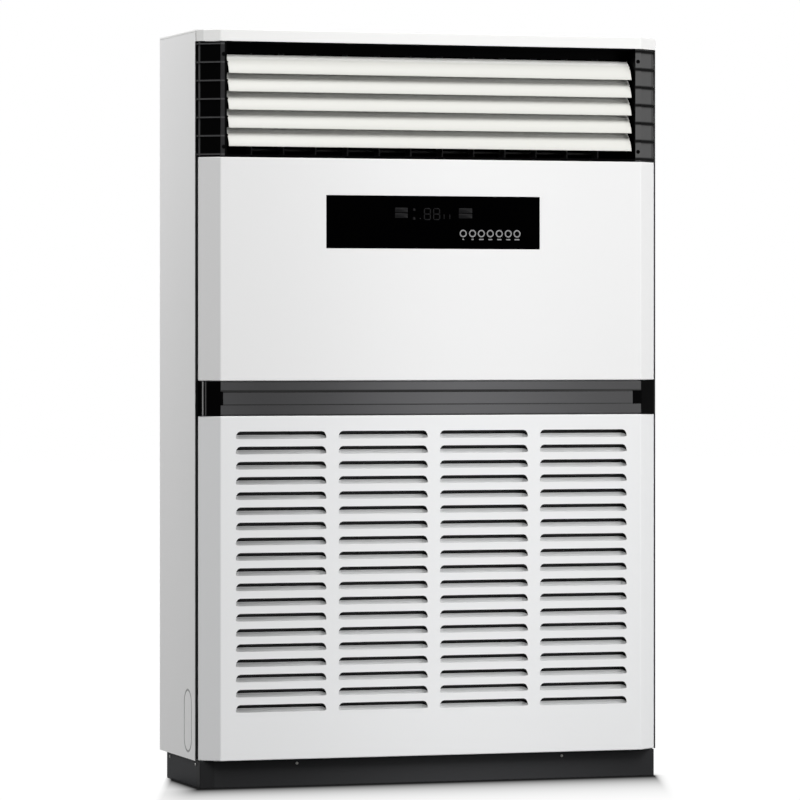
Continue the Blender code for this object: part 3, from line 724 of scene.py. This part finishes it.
@dataclass(frozen=True)
class FilterMesh(Finish):
    """A woven filter web: threads a millimetre and a half apart, both ways, with a dusting on them."""

    thread_pitch: float = 0.0015
    thread_depth: float = 0.0003
    thread_swing: float = 0.15
    dust_scale: float = 9.0
    dark: float = 0.6
    bright: float = 2.0

    def surface(self, graph: Graph, place: Signal) -> dict[str, Any]:
        """The weave's height is sin(2 pi x / pitch) sin(2 pi z / pitch).

        See the base class for Args and Returns.
        """
        x, _, z = graph.axes(place)
        turn = 2 * math.pi / self.thread_pitch
        weave = (x * turn).wave() * (z * turn).wave() * 0.5 + 0.5
        dust_and_shade = weave * graph.noise(place, self.dust_scale, detail=4.0)
        return {
            "Base Color": graph.shades(dust_and_shade, self.colour, self.dark, self.bright),
            "Roughness": self.roughness + weave.swung(self.thread_swing),
            "Normal": graph.bump(weave, self.thread_depth),
        }


@dataclass(frozen=True)
class PlatedSteel(Finish):
    """Plated screw heads, whose tool marks vary the tone and the gloss."""

    mark_scale: float = 1800.0
    octaves: float = 3.0
    mark_swing: float = 0.3
    dark: float = 0.7
    bright: float = 1.2

    def surface(self, graph: Graph, place: Signal) -> dict[str, Any]:
        """One fine noise gives the marks. See the base class for Args and Returns."""
        marks = graph.noise(place, self.mark_scale, self.octaves)
        return {
            "Base Color": graph.shades(marks, self.colour, self.dark, self.bright),
            "Roughness": self.roughness + marks.swung(self.mark_swing),
        }


@dataclass(frozen=True)
class PrintedInk(PlatedSteel):
    """Screen-printed ink, marked in the same way by the openings in its grainy film."""

    mark_scale: float = 2500.0
    octaves: float = 2.0
    mark_swing: float = 0.2
    dark: float = 0.85
    bright: float = 1.1


WHITE_ENAMEL = PowderCoat("white_powder_coat", (0.83, 0.83, 0.825), 0.42)
# The cap's left chamfer is painted brighter as painted light, beside a faint painted sheen.
CAP_ENAMEL = PaintedSheenCoat(
    "cap_powder_coat",
    (0.83, 0.83, 0.82),
    0.42,
    sheen=PaintedSheen(0.03, -0.15, 0.75),
    painted_end_brightness=1.16,
)
# Both front panels carry a painted sheen and painted shade in their folds; the lower one also has painted shade in
# its louvres.
UPPER_ENAMEL = FoldedCoat("upper_powder_coat", (0.81, 0.81, 0.81), 0.42)
LOWER_ENAMEL = LouvreCoat("lower_powder_coat", (0.81, 0.815, 0.82), 0.42)
STAMPED_ENAMEL = StampedCoat("stamped_powder_coat", (0.80, 0.80, 0.80), 0.42)
GREY_ENAMEL = PowderCoat("grey_powder_coat", (0.020, 0.021, 0.023), 0.60, gloss=0.05, film=0.12)
# The plinth rail's left end is painted darker as painted shade, beside a painted sheen.
RAIL_ENAMEL = PaintedSheenCoat(
    "rail_powder_coat",
    (0.0310, 0.0315, 0.0330),
    0.60,
    gloss=0.05,
    painted_end_brightness=0.55,
    end_across=(-0.6000, -0.5550),
)
GREY_TRIM = BandMoulding("grey_trim_moulding", (0.0670, 0.0670, 0.0700), 0.34)
BLACK_PLASTIC = Moulding("black_moulding", JET, 0.45, gloss=0.02)
# Painted highlights: two upright lines on the left end piece where its rounding would catch the light.
LEFT_END = EdgedMoulding(
    "edged_moulding_left",
    JET,
    0.45,
    gloss=0.02,
    edges=((-0.5850, 1.0), (-0.5788, 0.25)),
)
VANE_BLACK = Moulding("vane_moulding", (0.10, 0.10, 0.10), 0.50, gloss=0.1)
# Painted light on the left corner: its strip a faint painted reflection, its ribs and bead painted highlights.
LEFT_RIBS = RibbedMoulding(
    "ribbed_moulding_left",
    JET,
    0.45,
    gloss=0.03,
    strip=(0.026, 0.026, 0.027),
    strip_inner=0.5365,
    rib=(0.070, 0.070, 0.072),
    bead=(0.070, 0.070, 0.072),
)
# Painted light on the right corner: the face grey with a painted reflection, its ribs painted shadow lines and its
# bead a painted darker band.
RIGHT_RIBS = RibbedMoulding(
    "ribbed_moulding_right",
    (0.082, 0.082, 0.082),
    0.50,
    gloss=0.06,
    strip=(0.086, 0.086, 0.086),
    rib=(0.002, 0.002, 0.002),
    rib_half=0.0040,
    bead=(0.054, 0.054, 0.054),
    bead_across=0.5910,
    bead_half=0.0055,
)
GLOSS_BLACK = SmokedPane("smoked_pane", (0.0004, 0.0004, 0.0005), 0.06, gloss=0.3)
IVORY_PLASTIC = SlatMoulding(
    "ivory_moulding", (0.61, 0.61, 0.576), 0.40, grain_depth=0.00001, tone=0.01
)
ZINC_STEEL = ZincSheet("zinc_spangle", (0.42, 0.43, 0.44), 0.40, metallic=0.8)
# Painted shade: the front posts, seen only in the joints, are zinc darkened to near black.
SHADED_ZINC = ZincSheet("shaded_zinc", (0.03, 0.03, 0.031), 0.60, metallic=0.4)
FILTER_PLASTIC = FilterMesh("filter_web", (0.008, 0.008, 0.009), 0.60)
BLACK_SCREW = PlatedSteel("blackened_screw", (0.001, 0.001, 0.001), 0.60, gloss=0.02)
ZINC_SCREW = PlatedSteel("zinc_screw", (0.46, 0.46, 0.44), 0.40, metallic=0.2)
KEY_INK = PrintedInk("key_ink", (0.24, 0.24, 0.245), 0.45)
DIM_SEGMENT = PrintedInk("unlit_segment", (0.0055, 0.0055, 0.006), 0.40, gloss=0.1)

FINISHES: dict[Slot, Finish] = {
    Slot.WHITE_ENAMEL: WHITE_ENAMEL,
    Slot.GREY_ENAMEL: GREY_ENAMEL,
    Slot.GREY_TRIM: GREY_TRIM,
    Slot.BLACK_PLASTIC: BLACK_PLASTIC,
    Slot.GLOSS_BLACK: GLOSS_BLACK,
    Slot.IVORY_PLASTIC: IVORY_PLASTIC,
    Slot.ZINC_STEEL: ZINC_STEEL,
    Slot.FILTER_PLASTIC: FILTER_PLASTIC,
}

NODE_FINISHES: dict[str, Finish] = {
    "top_cap": CAP_ENAMEL,
    "upper_front_panel": UPPER_ENAMEL,
    "lower_grille_panel": LOWER_ENAMEL,
    "left_side_panel": STAMPED_ENAMEL,
    "right_side_panel": STAMPED_ENAMEL,
    "left_front_post": SHADED_ZINC,
    "right_front_post": SHADED_ZINC,
    "plinth_front_rail": RAIL_ENAMEL,
    "trim_end_left": LEFT_END,
    "guide_vanes": VANE_BLACK,
    "outlet_corner_left": LEFT_RIBS,
    "outlet_corner_right": RIGHT_RIBS,
}


@cache
def material_of(finish: Finish) -> bpy.types.Material:
    """The one material of a finish."""
    return finish.material()


@dataclass
class Shell:
    """Points and faces of a piece that grows by parts before it becomes one mesh."""

    points: list[Array] = field(default_factory=list)
    faces: list[list[int]] = field(default_factory=list)

    def grid(self, points: Array, wrap_rows: bool = False) -> None:
        """Adds a closed surface of rings.

        The quad of row i and column j joins (i, j), (i, j+1), (i+1, j+1) and (i+1, j), with j
        counted round. The first and last row are closed by flat ends, unless the rows wrap round.

        Args:
            points: Rows of rings, in an array of rows by columns by three.
            wrap_rows: Whether the last row joins the first.
        """
        rows, columns = points.shape[:2]
        start = sum(len(part) for part in self.points)
        self.points.append(points.reshape(-1, 3))
        joined = np.arange(rows if wrap_rows else rows - 1)
        i, j = np.meshgrid(joined, np.arange(columns), indexing="ij")
        row, next_row = i * columns, (i + 1) % rows * columns
        beside = (j + 1) % columns
        quads = np.stack((row + j, row + beside, next_row + beside, next_row + j), axis=-1)
        self.faces += (start + quads.reshape(-1, 4)).tolist()
        if not wrap_rows:
            last = start + (rows - 1) * columns
            self.faces.append(list(range(start, start + columns)))
            self.faces.append(list(range(last, last + columns)))

    def piece(self, name: str, finish: Finish, slot: Slot, body: str) -> bpy.types.Object:
        """Turns the shell into a piece that rides on a body.

        Args:
            name: The piece's name.
            finish: What it is finished in.
            slot: The record's slot that the finish stands for; not used.
            body: The body that it moves with.

        Returns:
            The object.
        """
        mesh = bpy.data.meshes.new(name)
        mesh.from_pydata(np.concatenate(self.points), [], self.faces)
        work = bmesh.new()
        work.from_mesh(mesh)
        bmesh.ops.recalc_face_normals(work, faces=work.faces)
        work.to_mesh(mesh)
        work.free()
        mesh.shade_smooth()
        mesh.set_sharp_from_angle(angle=SMOOTH_BELOW)
        mesh.materials.append(material_of(finish))
        made = bpy.data.objects.new(name, mesh)
        bpy.context.scene.collection.objects.link(made)
        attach(made, body)
        LOG.info("%s: %d faces on %s", name, len(mesh.polygons), body)
        return made


def revolved(
    profile: Array, centre: Sequence[float], axis: Sequence[float], segments: int
) -> Array:
    """Turns a profile about a level axis.

    A profile point (r, h) at angle a lands on centre + h axis + r (cos a across + sin a along),
    where across is the product of axis and Z, and along that of axis and across.

    Args:
        profile: Points of radius and height.
        centre: The middle of height nought.
        axis: The unit axis.
        segments: How many steps the turn has.

    Returns:
        One ring for each profile point.
    """
    out = np.asarray(axis, float)
    across = np.cross(out, (0.0, 0.0, 1.0))
    along = np.cross(out, across)
    angle = np.linspace(0, 2 * np.pi, segments, endpoint=False)
    spokes = np.cos(angle)[:, None] * across + np.sin(angle)[:, None] * along
    radius, height = profile.T
    return np.asarray(centre) + height[:, None, None] * out + radius[:, None, None] * spokes


def front_plate(outline: Array, back: float, front: float, edge: float) -> Array:
    """A thin flat mark that stands on a plane facing the front, with its rim drawn in.

    The outline's points (x, z) keep their place at the back, and at the front they move towards
    the middle m as m + (p - m)(1 - edge / |p - m|).

    Args:
        outline: Points of x and z round a convex shape.
        back: The Y that it stands on.
        front: The Y of its face.
        edge: How far the face is drawn in from the outline.

    Returns:
        Three rings of points.
    """
    middle = outline.mean(axis=0)
    spoke = outline - middle
    reach = np.linalg.norm(spoke, axis=1, keepdims=True)
    inner = middle + spoke * (1 - edge / reach)
    levels = ((outline, back), (outline, (back + front) / 2), (inner, front))
    return np.stack([np.insert(ring, 1, y, axis=1) for ring, y in levels])


def rounded_box(
    x: float, z: float, width: float, height: float, radius: float, steps: int = 5
) -> Array:
    """The outline of a rectangle with rounded corners.

    Corner k's arc is centre_k + radius (cos a, sin a) for a from k pi/2 to (k + 1) pi/2.

    Args:
        x: Its middle across.
        z: Its middle up.
        width: Its full width.
        height: Its full height.
        radius: Its corners' radius.
        steps: Points on each corner.

    Returns:
        Points of x and z.
    """
    signs = np.array([(1, 1), (-1, 1), (-1, -1), (1, -1)])
    centres = np.array((x, z)) + signs * (np.array((width, height)) / 2 - radius)
    angle = (np.arange(4)[:, None] + np.linspace(0, 1, steps)) * np.pi / 2
    arc = np.stack((np.cos(angle), np.sin(angle)), axis=-1)
    return (centres[:, None, :] + radius * arc).reshape(-1, 2)


@dataclass(frozen=True)
class Screw:
    """A pan-head screw with a cross recess."""

    radius: float = 0.0036
    height: float = 0.0011
    dome: float = 0.8
    top_radius: float = 0.00012
    recess_width: float = 0.0010
    recess_reach: float = 0.62
    recess_depth: float = 0.0007
    side_soft: float = 0.0002
    end_soft: float = 0.0003
    deepest: float = 0.9
    rings: int = 12
    segments: int = 48

    def points(self, centre: Sequence[float], axis: Sequence[float]) -> Array:
        """The head's surface.

        The dome is height sqrt(1 - dome (r/R)^2). The cross takes its depth off wherever the
        smaller of |x| and |y| is under half its width and r is under its reach times R, with soft
        edges, and nowhere more than the deepest share of the dome.

        Args:
            centre: The middle of the head's seat.
            axis: The direction that it faces.

        Returns:
            Rings from the rim to the middle.
        """
        steps = np.linspace(self.radius, self.top_radius, self.rings)
        radius = np.concatenate(([self.radius], steps))
        height = self.height * np.sqrt(1 - self.dome * (radius / self.radius) ** 2)
        height[0] = 0.0
        rings = revolved(np.column_stack((radius, height)), centre, axis, self.segments)
        angle = np.linspace(0, 2 * np.pi, self.segments, endpoint=False)
        x, y = radius[:, None] * np.cos(angle), radius[:, None] * np.sin(angle)
        from_side = self.recess_width / 2 - np.minimum(abs(x), abs(y))
        from_end = self.recess_reach * self.radius - radius[:, None]
        arm = np.clip(from_side / self.side_soft + 0.5, 0, 1)
        reach = np.clip(from_end / self.end_soft + 0.5, 0, 1)
        cut = np.minimum(self.recess_depth * arm * reach, height[:, None] * self.deepest)
        return rings - cut[..., None] * np.asarray(axis, float)


class Cabinet:
    """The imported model's own pieces, which keep their shape and get their finish."""

    def dress(self) -> None:
        """Gives each piece its own finish, or else the one of its slot in the record."""
        for part in frame["record"]["subparts"]:
            piece = frame["nodes"][part["node"]]
            finish = NODE_FINISHES.get(part["node"], FINISHES[Slot(part["material_slot"])])
            piece.data.materials.clear()
            piece.data.materials.append(material_of(finish))
            LOG.info("%s: %s", part["node"], finish.name)


@dataclass
class OutletSlats:
    """The five curved slats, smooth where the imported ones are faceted."""

    radius: float = 0.0750
    low: float = math.radians(14)
    high: float = math.radians(61)
    thickness: float = 0.0030
    edge_thickness: float = 0.0016
    half_length: float = 0.5240
    end_round: float = 0.0004
    steps: int = 36
    tip_steps: int = 7
    pin_radius: float = 0.0030
    pin_start: float = 0.5230
    pin_end: float = 0.5325
    pin_edge: float = 0.0004
    pin_segments: int = 24

    def profile(self, inset: float) -> Array:
        """The blade's cross-section round its pivot.

        With s from 0 to 1 the angle a goes evenly from low to high, less a tip's radius at both
        ends, and the half thickness is h = (edge + (thickness - edge) sin(pi s)) / 2 - inset. The
        faces are centre + (radius +- h)(-cos a, sin a), and each tip is a half circle of radius h.

        Args:
            inset: How far the outline is drawn in.

        Returns:
            Points of depth and level.
        """
        middle = (self.low + self.high) / 2
        centre = self.radius * np.array((math.cos(middle), -math.sin(middle)))
        tip = self.edge_thickness / 2 / self.radius
        share = np.linspace(0, 1, self.steps)
        angle = self.low + tip + share * (self.high - self.low - 2 * tip)
        swell = (self.thickness - self.edge_thickness) * np.sin(np.pi * share)
        half = (self.edge_thickness + swell) / 2 - inset
        spoke = np.column_stack((-np.cos(angle), np.sin(angle)))
        outer = centre + (self.radius + half)[:, None] * spoke
        inner = centre + (self.radius - half)[:, None] * spoke
        turn = np.linspace(0, np.pi, self.tip_steps)[1:-1, None]
        tips = []
        for end, way in ((-1, 1), (0, -1)):
            out = spoke[end]
            along = way * np.array((out[1], -out[0]))
            arc = np.cos(turn) * way * out + np.sin(turn) * along
            tips.append(centre + self.radius * out + half[end] * arc)
        return np.concatenate((outer, tips[0], inner[::-1], tips[1]))

    def blade(self, pivot: Array) -> Array:
        """The profile carried along X, and drawn in at both ends.

        Args:
            pivot: The middle of the slat's hinge.

        Returns:
            Four rings of points.
        """
        end, soft = self.half_length, self.end_round
        rings = [
            pivot + np.insert(self.profile(inset), 0, x, axis=1)
            for x, inset in ((-end, soft), (soft - end, 0.0), (end - soft, 0.0), (end, soft))
        ]
        return np.stack(rings)

    def pin(self, pivot: Array, side: Side) -> Array:
        """A pin with a chamfered end, turned about the hinge.

        Args:
            pivot: The middle of the slat's hinge.
            side: The end of the slat that it is on.

        Returns:
            Three rings of points.
        """
        radius, edge = self.pin_radius, self.pin_edge
        profile = (
            (radius, self.pin_start),
            (radius, self.pin_end - edge),
            (radius - edge, self.pin_end),
        )
        return revolved(np.array(profile), pivot, (side.value, 0, 0), self.pin_segments)

    def build(self) -> None:
        """Makes each slat about its own hinge, with a pin at each end."""
        for joint in frame["joints"]:
            pivot = np.asarray(joint["pos_m"])
            blade, pins = Shell(), Shell()
            blade.grid(self.blade(pivot))
            for side in Side:
                pins.grid(self.pin(pivot, side))
            node = joint["child"]
            slat = blade.piece(node + "_blade", IVORY_PLASTIC, Slot.IVORY_PLASTIC, node)
            pins.piece(node + "_pins", BLACK_PLASTIC, Slot.BLACK_PLASTIC, node)
            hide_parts(node)


@dataclass
class ControlPanel:
    """The control panel's marks: seven touch-key rings with a bar under each, and the readout."""

    key_centres: tuple[float, ...] = (0.0769, 0.1013, 0.1244, 0.1477, 0.1714, 0.1948, 0.2180)
    key_level: float = 1.3600
    key_radius: float = 0.0093
    key_hole: float = 0.0062
    key_segments: int = 40
    bar_level: float = 1.3455
    bar_widths: tuple[float, ...] = (0.0045, 0.0060, 0.0120, 0.0110, 0.0120, 0.0110, 0.0130)
    bar_height: float = 0.0030
    bar_round: float = 0.0012
    raised: float = 0.00025
    soft_edge: float = 0.000175
    digit_centres: tuple[float, ...] = (-0.0165, 0.0075)
    digit_level: float = 1.4075
    digit_width: float = 0.0155
    digit_height: float = 0.0270
    segment_width: float = 0.0030
    segment_gap: float = 0.0006
    segment_raised: float = 0.0001
    block_round: float = 0.001
    blocks: tuple[tuple[float, float, float, float], ...] = (
        (-0.0840, 1.4168, 0.0330, 0.0115),
        (-0.0840, 1.4032, 0.0330, 0.0115),
        (-0.0510, 1.4180, 0.0060, 0.0060),
        (-0.0510, 1.3960, 0.0060, 0.0060),
        (-0.0350, 1.3960, 0.0040, 0.0025),
        (0.0270, 1.4010, 0.0025, 0.0110),
        (0.0420, 1.4010, 0.0025, 0.0110),
        (0.0830, 1.4168, 0.0350, 0.0115),
        (0.0830, 1.4032, 0.0350, 0.0115),
    )

    def face(self) -> float:
        """The Y of the panel's front face."""
        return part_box("display_panel")[0].y

    def keys(self) -> None:
        """Makes the rings, each a rounded band turned about its key's middle, and the bars."""
        rings, bars = Shell(), Shell()
        low, high, lift, soft = self.key_hole, self.key_radius, self.raised, self.soft_edge
        rise = ((low, 0.0), (low, lift - soft), (low + soft, lift))
        fall = ((high - soft, lift), (high, lift - soft), (high, 0.0))
        profile, face = np.array(rise + fall), self.face()
        for x, width in zip(self.key_centres, self.bar_widths):
            turned = revolved(profile, (x, face, self.key_level), (0, -1, 0), self.key_segments)
            rings.grid(turned, wrap_rows=True)
            outline = rounded_box(x, self.bar_level, width, self.bar_height, self.bar_round)
            bars.grid(front_plate(outline, face, face - lift, soft))
        rings.piece("key_rings", KEY_INK, Slot.GLOSS_BLACK, CABINET)
        bars.piece("key_bars", KEY_INK, Slot.GLOSS_BLACK, CABINET)

    def segment(self, x: float, z: float, length: float, upright: bool) -> Array:
        """One segment of a digit, a bar with pointed ends.

        Args:
            x: Its middle across.
            z: Its middle up.
            length: Its length between the points.
            upright: Whether it stands up.

        Returns:
            Its outline's points of x and z.
        """
        half, wide = length / 2 - self.segment_gap, self.segment_width / 2
        above = ((half, 0), (half - wide, wide), (wide - half, wide))
        below = ((-half, 0), (wide - half, -wide), (half - wide, -wide))
        flat = np.array(above + below)
        return np.array((x, z)) + (flat[:, ::-1] if upright else flat)

    def readout(self) -> None:
        """Makes the two unlit digits of seven segments, and the blocks and dots beside them.

        Each block is (x, z, width, height).
        """
        wide, high = self.digit_width, self.digit_height / 2
        outlines = []
        for x in self.digit_centres:
            for k in (-1, 0, 1):
                outlines.append(self.segment(x, self.digit_level + k * high, wide, False))
            for side in Side:
                for k in (-1, 1):
                    at = (x + side.value * wide / 2, self.digit_level + k * high / 2)
                    outlines.append(self.segment(*at, high, True))
        outlines += [rounded_box(*block, self.block_round) for block in self.blocks]
        shell, face, raised = Shell(), self.face(), self.segment_raised
        for outline in outlines:
            shell.grid(front_plate(outline, face, face - raised, raised))
        shell.piece("readout_segments", DIM_SEGMENT, Slot.GLOSS_BLACK, CABINET)

    def build(self) -> None:
        """Makes the marks."""
        self.keys()
        self.readout()


@dataclass
class Fasteners:
    """The screw heads that the picture shows on the outlet's corners and on the plinth."""

    outlet_screw: Screw = Screw(radius=0.0050, height=0.0003, recess_depth=0.0002)
    outlet_across: float = 0.5390
    outlet_depth: float = 0.0003
    outlet_levels: tuple[float, ...] = (1.5678, 1.7940)
    plinth_screw: Screw = Screw(radius=0.0035, height=0.0026)
    plinth_across: float = 0.3450
    plinth_level: float = 0.0565
    plinth_depths: tuple[float, ...] = (0.0660, 0.3060)

    def build(self) -> None:
        """Makes the screws, each head on the face that it holds."""
        outlet, plinth = Shell(), Shell()
        ahead = (0, -1, 0)
        plinth_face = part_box("plinth_front_rail")[0].y
        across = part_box("plinth_right_rail")[1].x
        for side in Side:
            for level in self.outlet_levels:
                at = (side.value * self.outlet_across, FRONT_Y + self.outlet_depth, level)
                outlet.grid(self.outlet_screw.points(at, ahead))
            at = (side.value * self.plinth_across, plinth_face, self.plinth_level)
            plinth.grid(self.plinth_screw.points(at, ahead))
            for depth in self.plinth_depths:
                at = (side.value * across, FRONT_Y + depth, self.plinth_level)
                plinth.grid(self.plinth_screw.points(at, (side.value, 0, 0)))
        outlet.piece("outlet_screws", BLACK_SCREW, Slot.BLACK_PLASTIC, CABINET)
        plinth.piece("plinth_screws", ZINC_SCREW, Slot.GREY_ENAMEL, CABINET)


@dataclass(frozen=True)
class Lamp:
    """A rectangular area lamp."""

    name: str
    power: float
    size: tuple[float, float]
    place: Point


@dataclass
class Studio:
    """The pale floor, the soft lamps and the camera at the picture's angle."""

    floor_half: float = 30.0
    floor_cells: int = 8
    floor_colour: Colour = (0.16, 0.16, 0.16)
    glow: float = 1.03
    glow_drop: float = 1.16
    glow_least: float = 0.015
    shade_reach: float = 0.180
    left_fall: float = 3.3
    right_fall: float = 20.0
    lean: float = 0.319
    lean_from: float = -0.004
    lean_fade: float = 0.02
    room: float = 0.20
    room_right: float = 0.04
    room_up: float = 0.08
    behind_from: float = 0.15
    lamps: tuple[Lamp, ...] = (
        Lamp("key", 1800.0, (7.5, 7.5), (0.2, -9.0, 11.6)),
        Lamp("fill", 78.0, (2.2, 3.0), (3.2, -3.3, 1.8)),
        Lamp("right_box", 2.0, (1.6, 3.0), (3.0, -0.4, 1.3)),
        Lamp("left_box", 86.0, (1.8, 1.6), (-3.3, 1.9, 3.0)),
    )
    lamps_face: Point = (0.0, 0.0, 1.1)
    camera_at: Point = (-3.6891, -11.4724, 1.0970)
    camera_yaw: float = math.radians(-17.7030)
    sensor_width: float = 36.0
    lens: float = 215.955
    shift_up: float = -0.0755
    sight: float = 200.0

    def floor(self) -> None:
        """Makes the floor: a flat grid that glows white to the camera and to gloss.

        It lights nothing, because all other rays see it dull. Quad (i, j) joins grid points
        (i, j), (i+1, j), (i+1, j+1) and (i, j+1).
        """
        across = np.linspace(-self.floor_half, self.floor_half, self.floor_cells + 1)
        x, y = np.meshgrid(across, across, indexing="ij")
        points = np.stack((x, y, np.zeros_like(x)), axis=-1).reshape(-1, 3)
        cells, row = np.arange(self.floor_cells), self.floor_cells + 1
        i, j = np.meshgrid(cells * row, cells, indexing="ij")
        quads = np.stack((i + j, i + row + j, i + row + j + 1, i + j + 1), axis=-1)
        mesh = bpy.data.meshes.new("studio_floor")
        mesh.from_pydata(points, [], quads.reshape(-1, 4).tolist())
        made = bpy.data.materials.new("studio_floor")
        made.use_nodes = True
        made.node_tree.nodes.clear()
        graph = Graph(made.node_tree)
        camera, glossy, through = self.rays(graph)
        seen = (camera + glossy + through).clamped()
        dull = graph.add("ShaderNodeBsdfDiffuse", values={"Color": self.floor_colour})
        values = {"Color": WHITE, "Strength": self.floor_glow(graph)}
        glow = graph.add("ShaderNodeEmission", values=values)
        mixed = graph.add("ShaderNodeMixShader", values={0: seen, 1: dull, 2: glow})
        graph.node("ShaderNodeOutputMaterial", values={"Surface": mixed})
        mesh.materials.append(made)
        floor = bpy.data.objects.new("studio_floor", mesh)
        bpy.context.scene.collection.objects.link(floor)

    def floor_glow(self, graph: Graph) -> Signal:
        """The floor's brightness, which drops beside the plinth.

        It is glow - drop k exp(-d / reach), held at the least or more. Here d is the distance
        from the plinth's foot, in which what lies to the sides and behind counts several times
        over. The shade leans to the left as it comes forward, as from a lamp behind on the right,
        and k ends it along a line from the plinth's rear left corner that leans as much.

        Args:
            graph: The nodes that it is added to.

        Returns:
            The brightness.
        """
        x, y, _ = graph.axes(graph.place())
        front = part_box("plinth_front_rail")[0].y
        half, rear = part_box("plinth_right_rail")[1].x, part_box("plinth_rear_rail")[1].y
        ahead = (front - y).at_least(0.0)
        left = (-x - half - ahead * self.lean).at_least(0.0) * self.left_fall
        right = (x - half + ahead * self.lean).at_least(0.0) * self.right_fall
        behind = (y - rear).at_least(0.0) * self.right_fall
        distance = (ahead**2.0 + left**2.0 + right**2.0 + behind**2.0) ** 0.5
        shaded = (distance * (-1 / self.shade_reach)).exp()
        kept = ((rear - y) * self.lean + x + half).past(self.lean_from, self.lean_fade)
        return (self.glow - self.glow_drop * shaded * kept).at_least(self.glow_least)

    def rays(self, graph: Graph) -> tuple[Signal, ...]:
        """The kinds of ray that may be asking.

        Args:
            graph: The nodes that it is added to.

        Returns:
            For camera, glossy and transmission rays in turn, one if it is that kind.
        """
        path = graph.node("ShaderNodeLightPath")
        kinds = ("Is Camera Ray", "Is Glossy Ray", "Is Transmission Ray")
        return tuple(Signal(graph, path.outputs[kind]) for kind in kinds)

    def world(self) -> None:
        """Sets the world: plain white to the camera, and a dim room to all but gloss.

        The room's brightness in direction (x, y, z) is room + right x + up z, held between nought
        and one. Gloss sees white behind the object, where y is over its limit, and else nothing.
        """
        world = bpy.data.worlds.new("studio")
        bpy.context.scene.world = world
        world.use_nodes = True
        world.node_tree.nodes.clear()
        graph = Graph(world.node_tree)
        x, y, z = graph.axes(graph.add("ShaderNodeTexCoord", output="Generated"))
        room = (self.room + self.room_right * x + self.room_up * z).clamped()
        camera, glossy, through = self.rays(graph)
        behind = (y > self.behind_from) * glossy
        white = (camera + through + behind).clamped()
        strength = white + (1 - white) * room * (1 - glossy)
        sky = graph.add("ShaderNodeBackground", values={"Color": WHITE, "Strength": strength})
        graph.node("ShaderNodeOutputWorld", values={"Surface": sky})

    def hang_lamps(self) -> None:
        """Hangs the lamps, all facing one point and none seen by the camera itself.

        The key is in front and above, the fill at the front right, and a soft box stands on each
        side, the left one behind.
        """
        for lamp in self.lamps:
            light = bpy.data.lights.new(lamp.name, "AREA")
            light.shape, light.energy = "RECTANGLE", lamp.power
            light.size, light.size_y = lamp.size
            aim = Vector(self.lamps_face) - Vector(lamp.place)
            made = bpy.data.objects.new(lamp.name, light)
            made.location = lamp.place
            made.rotation_euler = aim.to_track_quat("-Z", "Y").to_euler()
            made.visible_camera = False
            bpy.context.scene.collection.objects.link(made)

    def camera(self) -> None:
        """Places the camera that was fitted to the picture's edges."""
        lens = bpy.data.cameras.new("camera")
        lens.sensor_width = self.sensor_width
        lens.lens = self.lens
        lens.shift_y = self.shift_up
        lens.clip_end = self.sight
        made = bpy.data.objects.new("camera", lens)
        made.location = self.camera_at
        made.rotation_euler = (math.pi / 2, 0.0, self.camera_yaw)
        bpy.context.scene.collection.objects.link(made)
        bpy.context.scene.camera = made

    def build(self) -> None:
        """Makes the stage and sets the plain view transform."""
        bpy.context.scene.view_settings.view_transform = "Standard"
        self.camera()
        self.floor()
        self.world()
        self.hang_lamps()


def main() -> None:
    logging.basicConfig(level=logging.INFO, format="%(message)s")
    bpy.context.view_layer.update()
    Studio().build()
    Cabinet().dress()
    for part in (OutletSlats(), ControlPanel(), Fasteners()):
        part.build()
        LOG.info("%s is done", type(part).__name__)


if __name__ == "__main__":
    main()
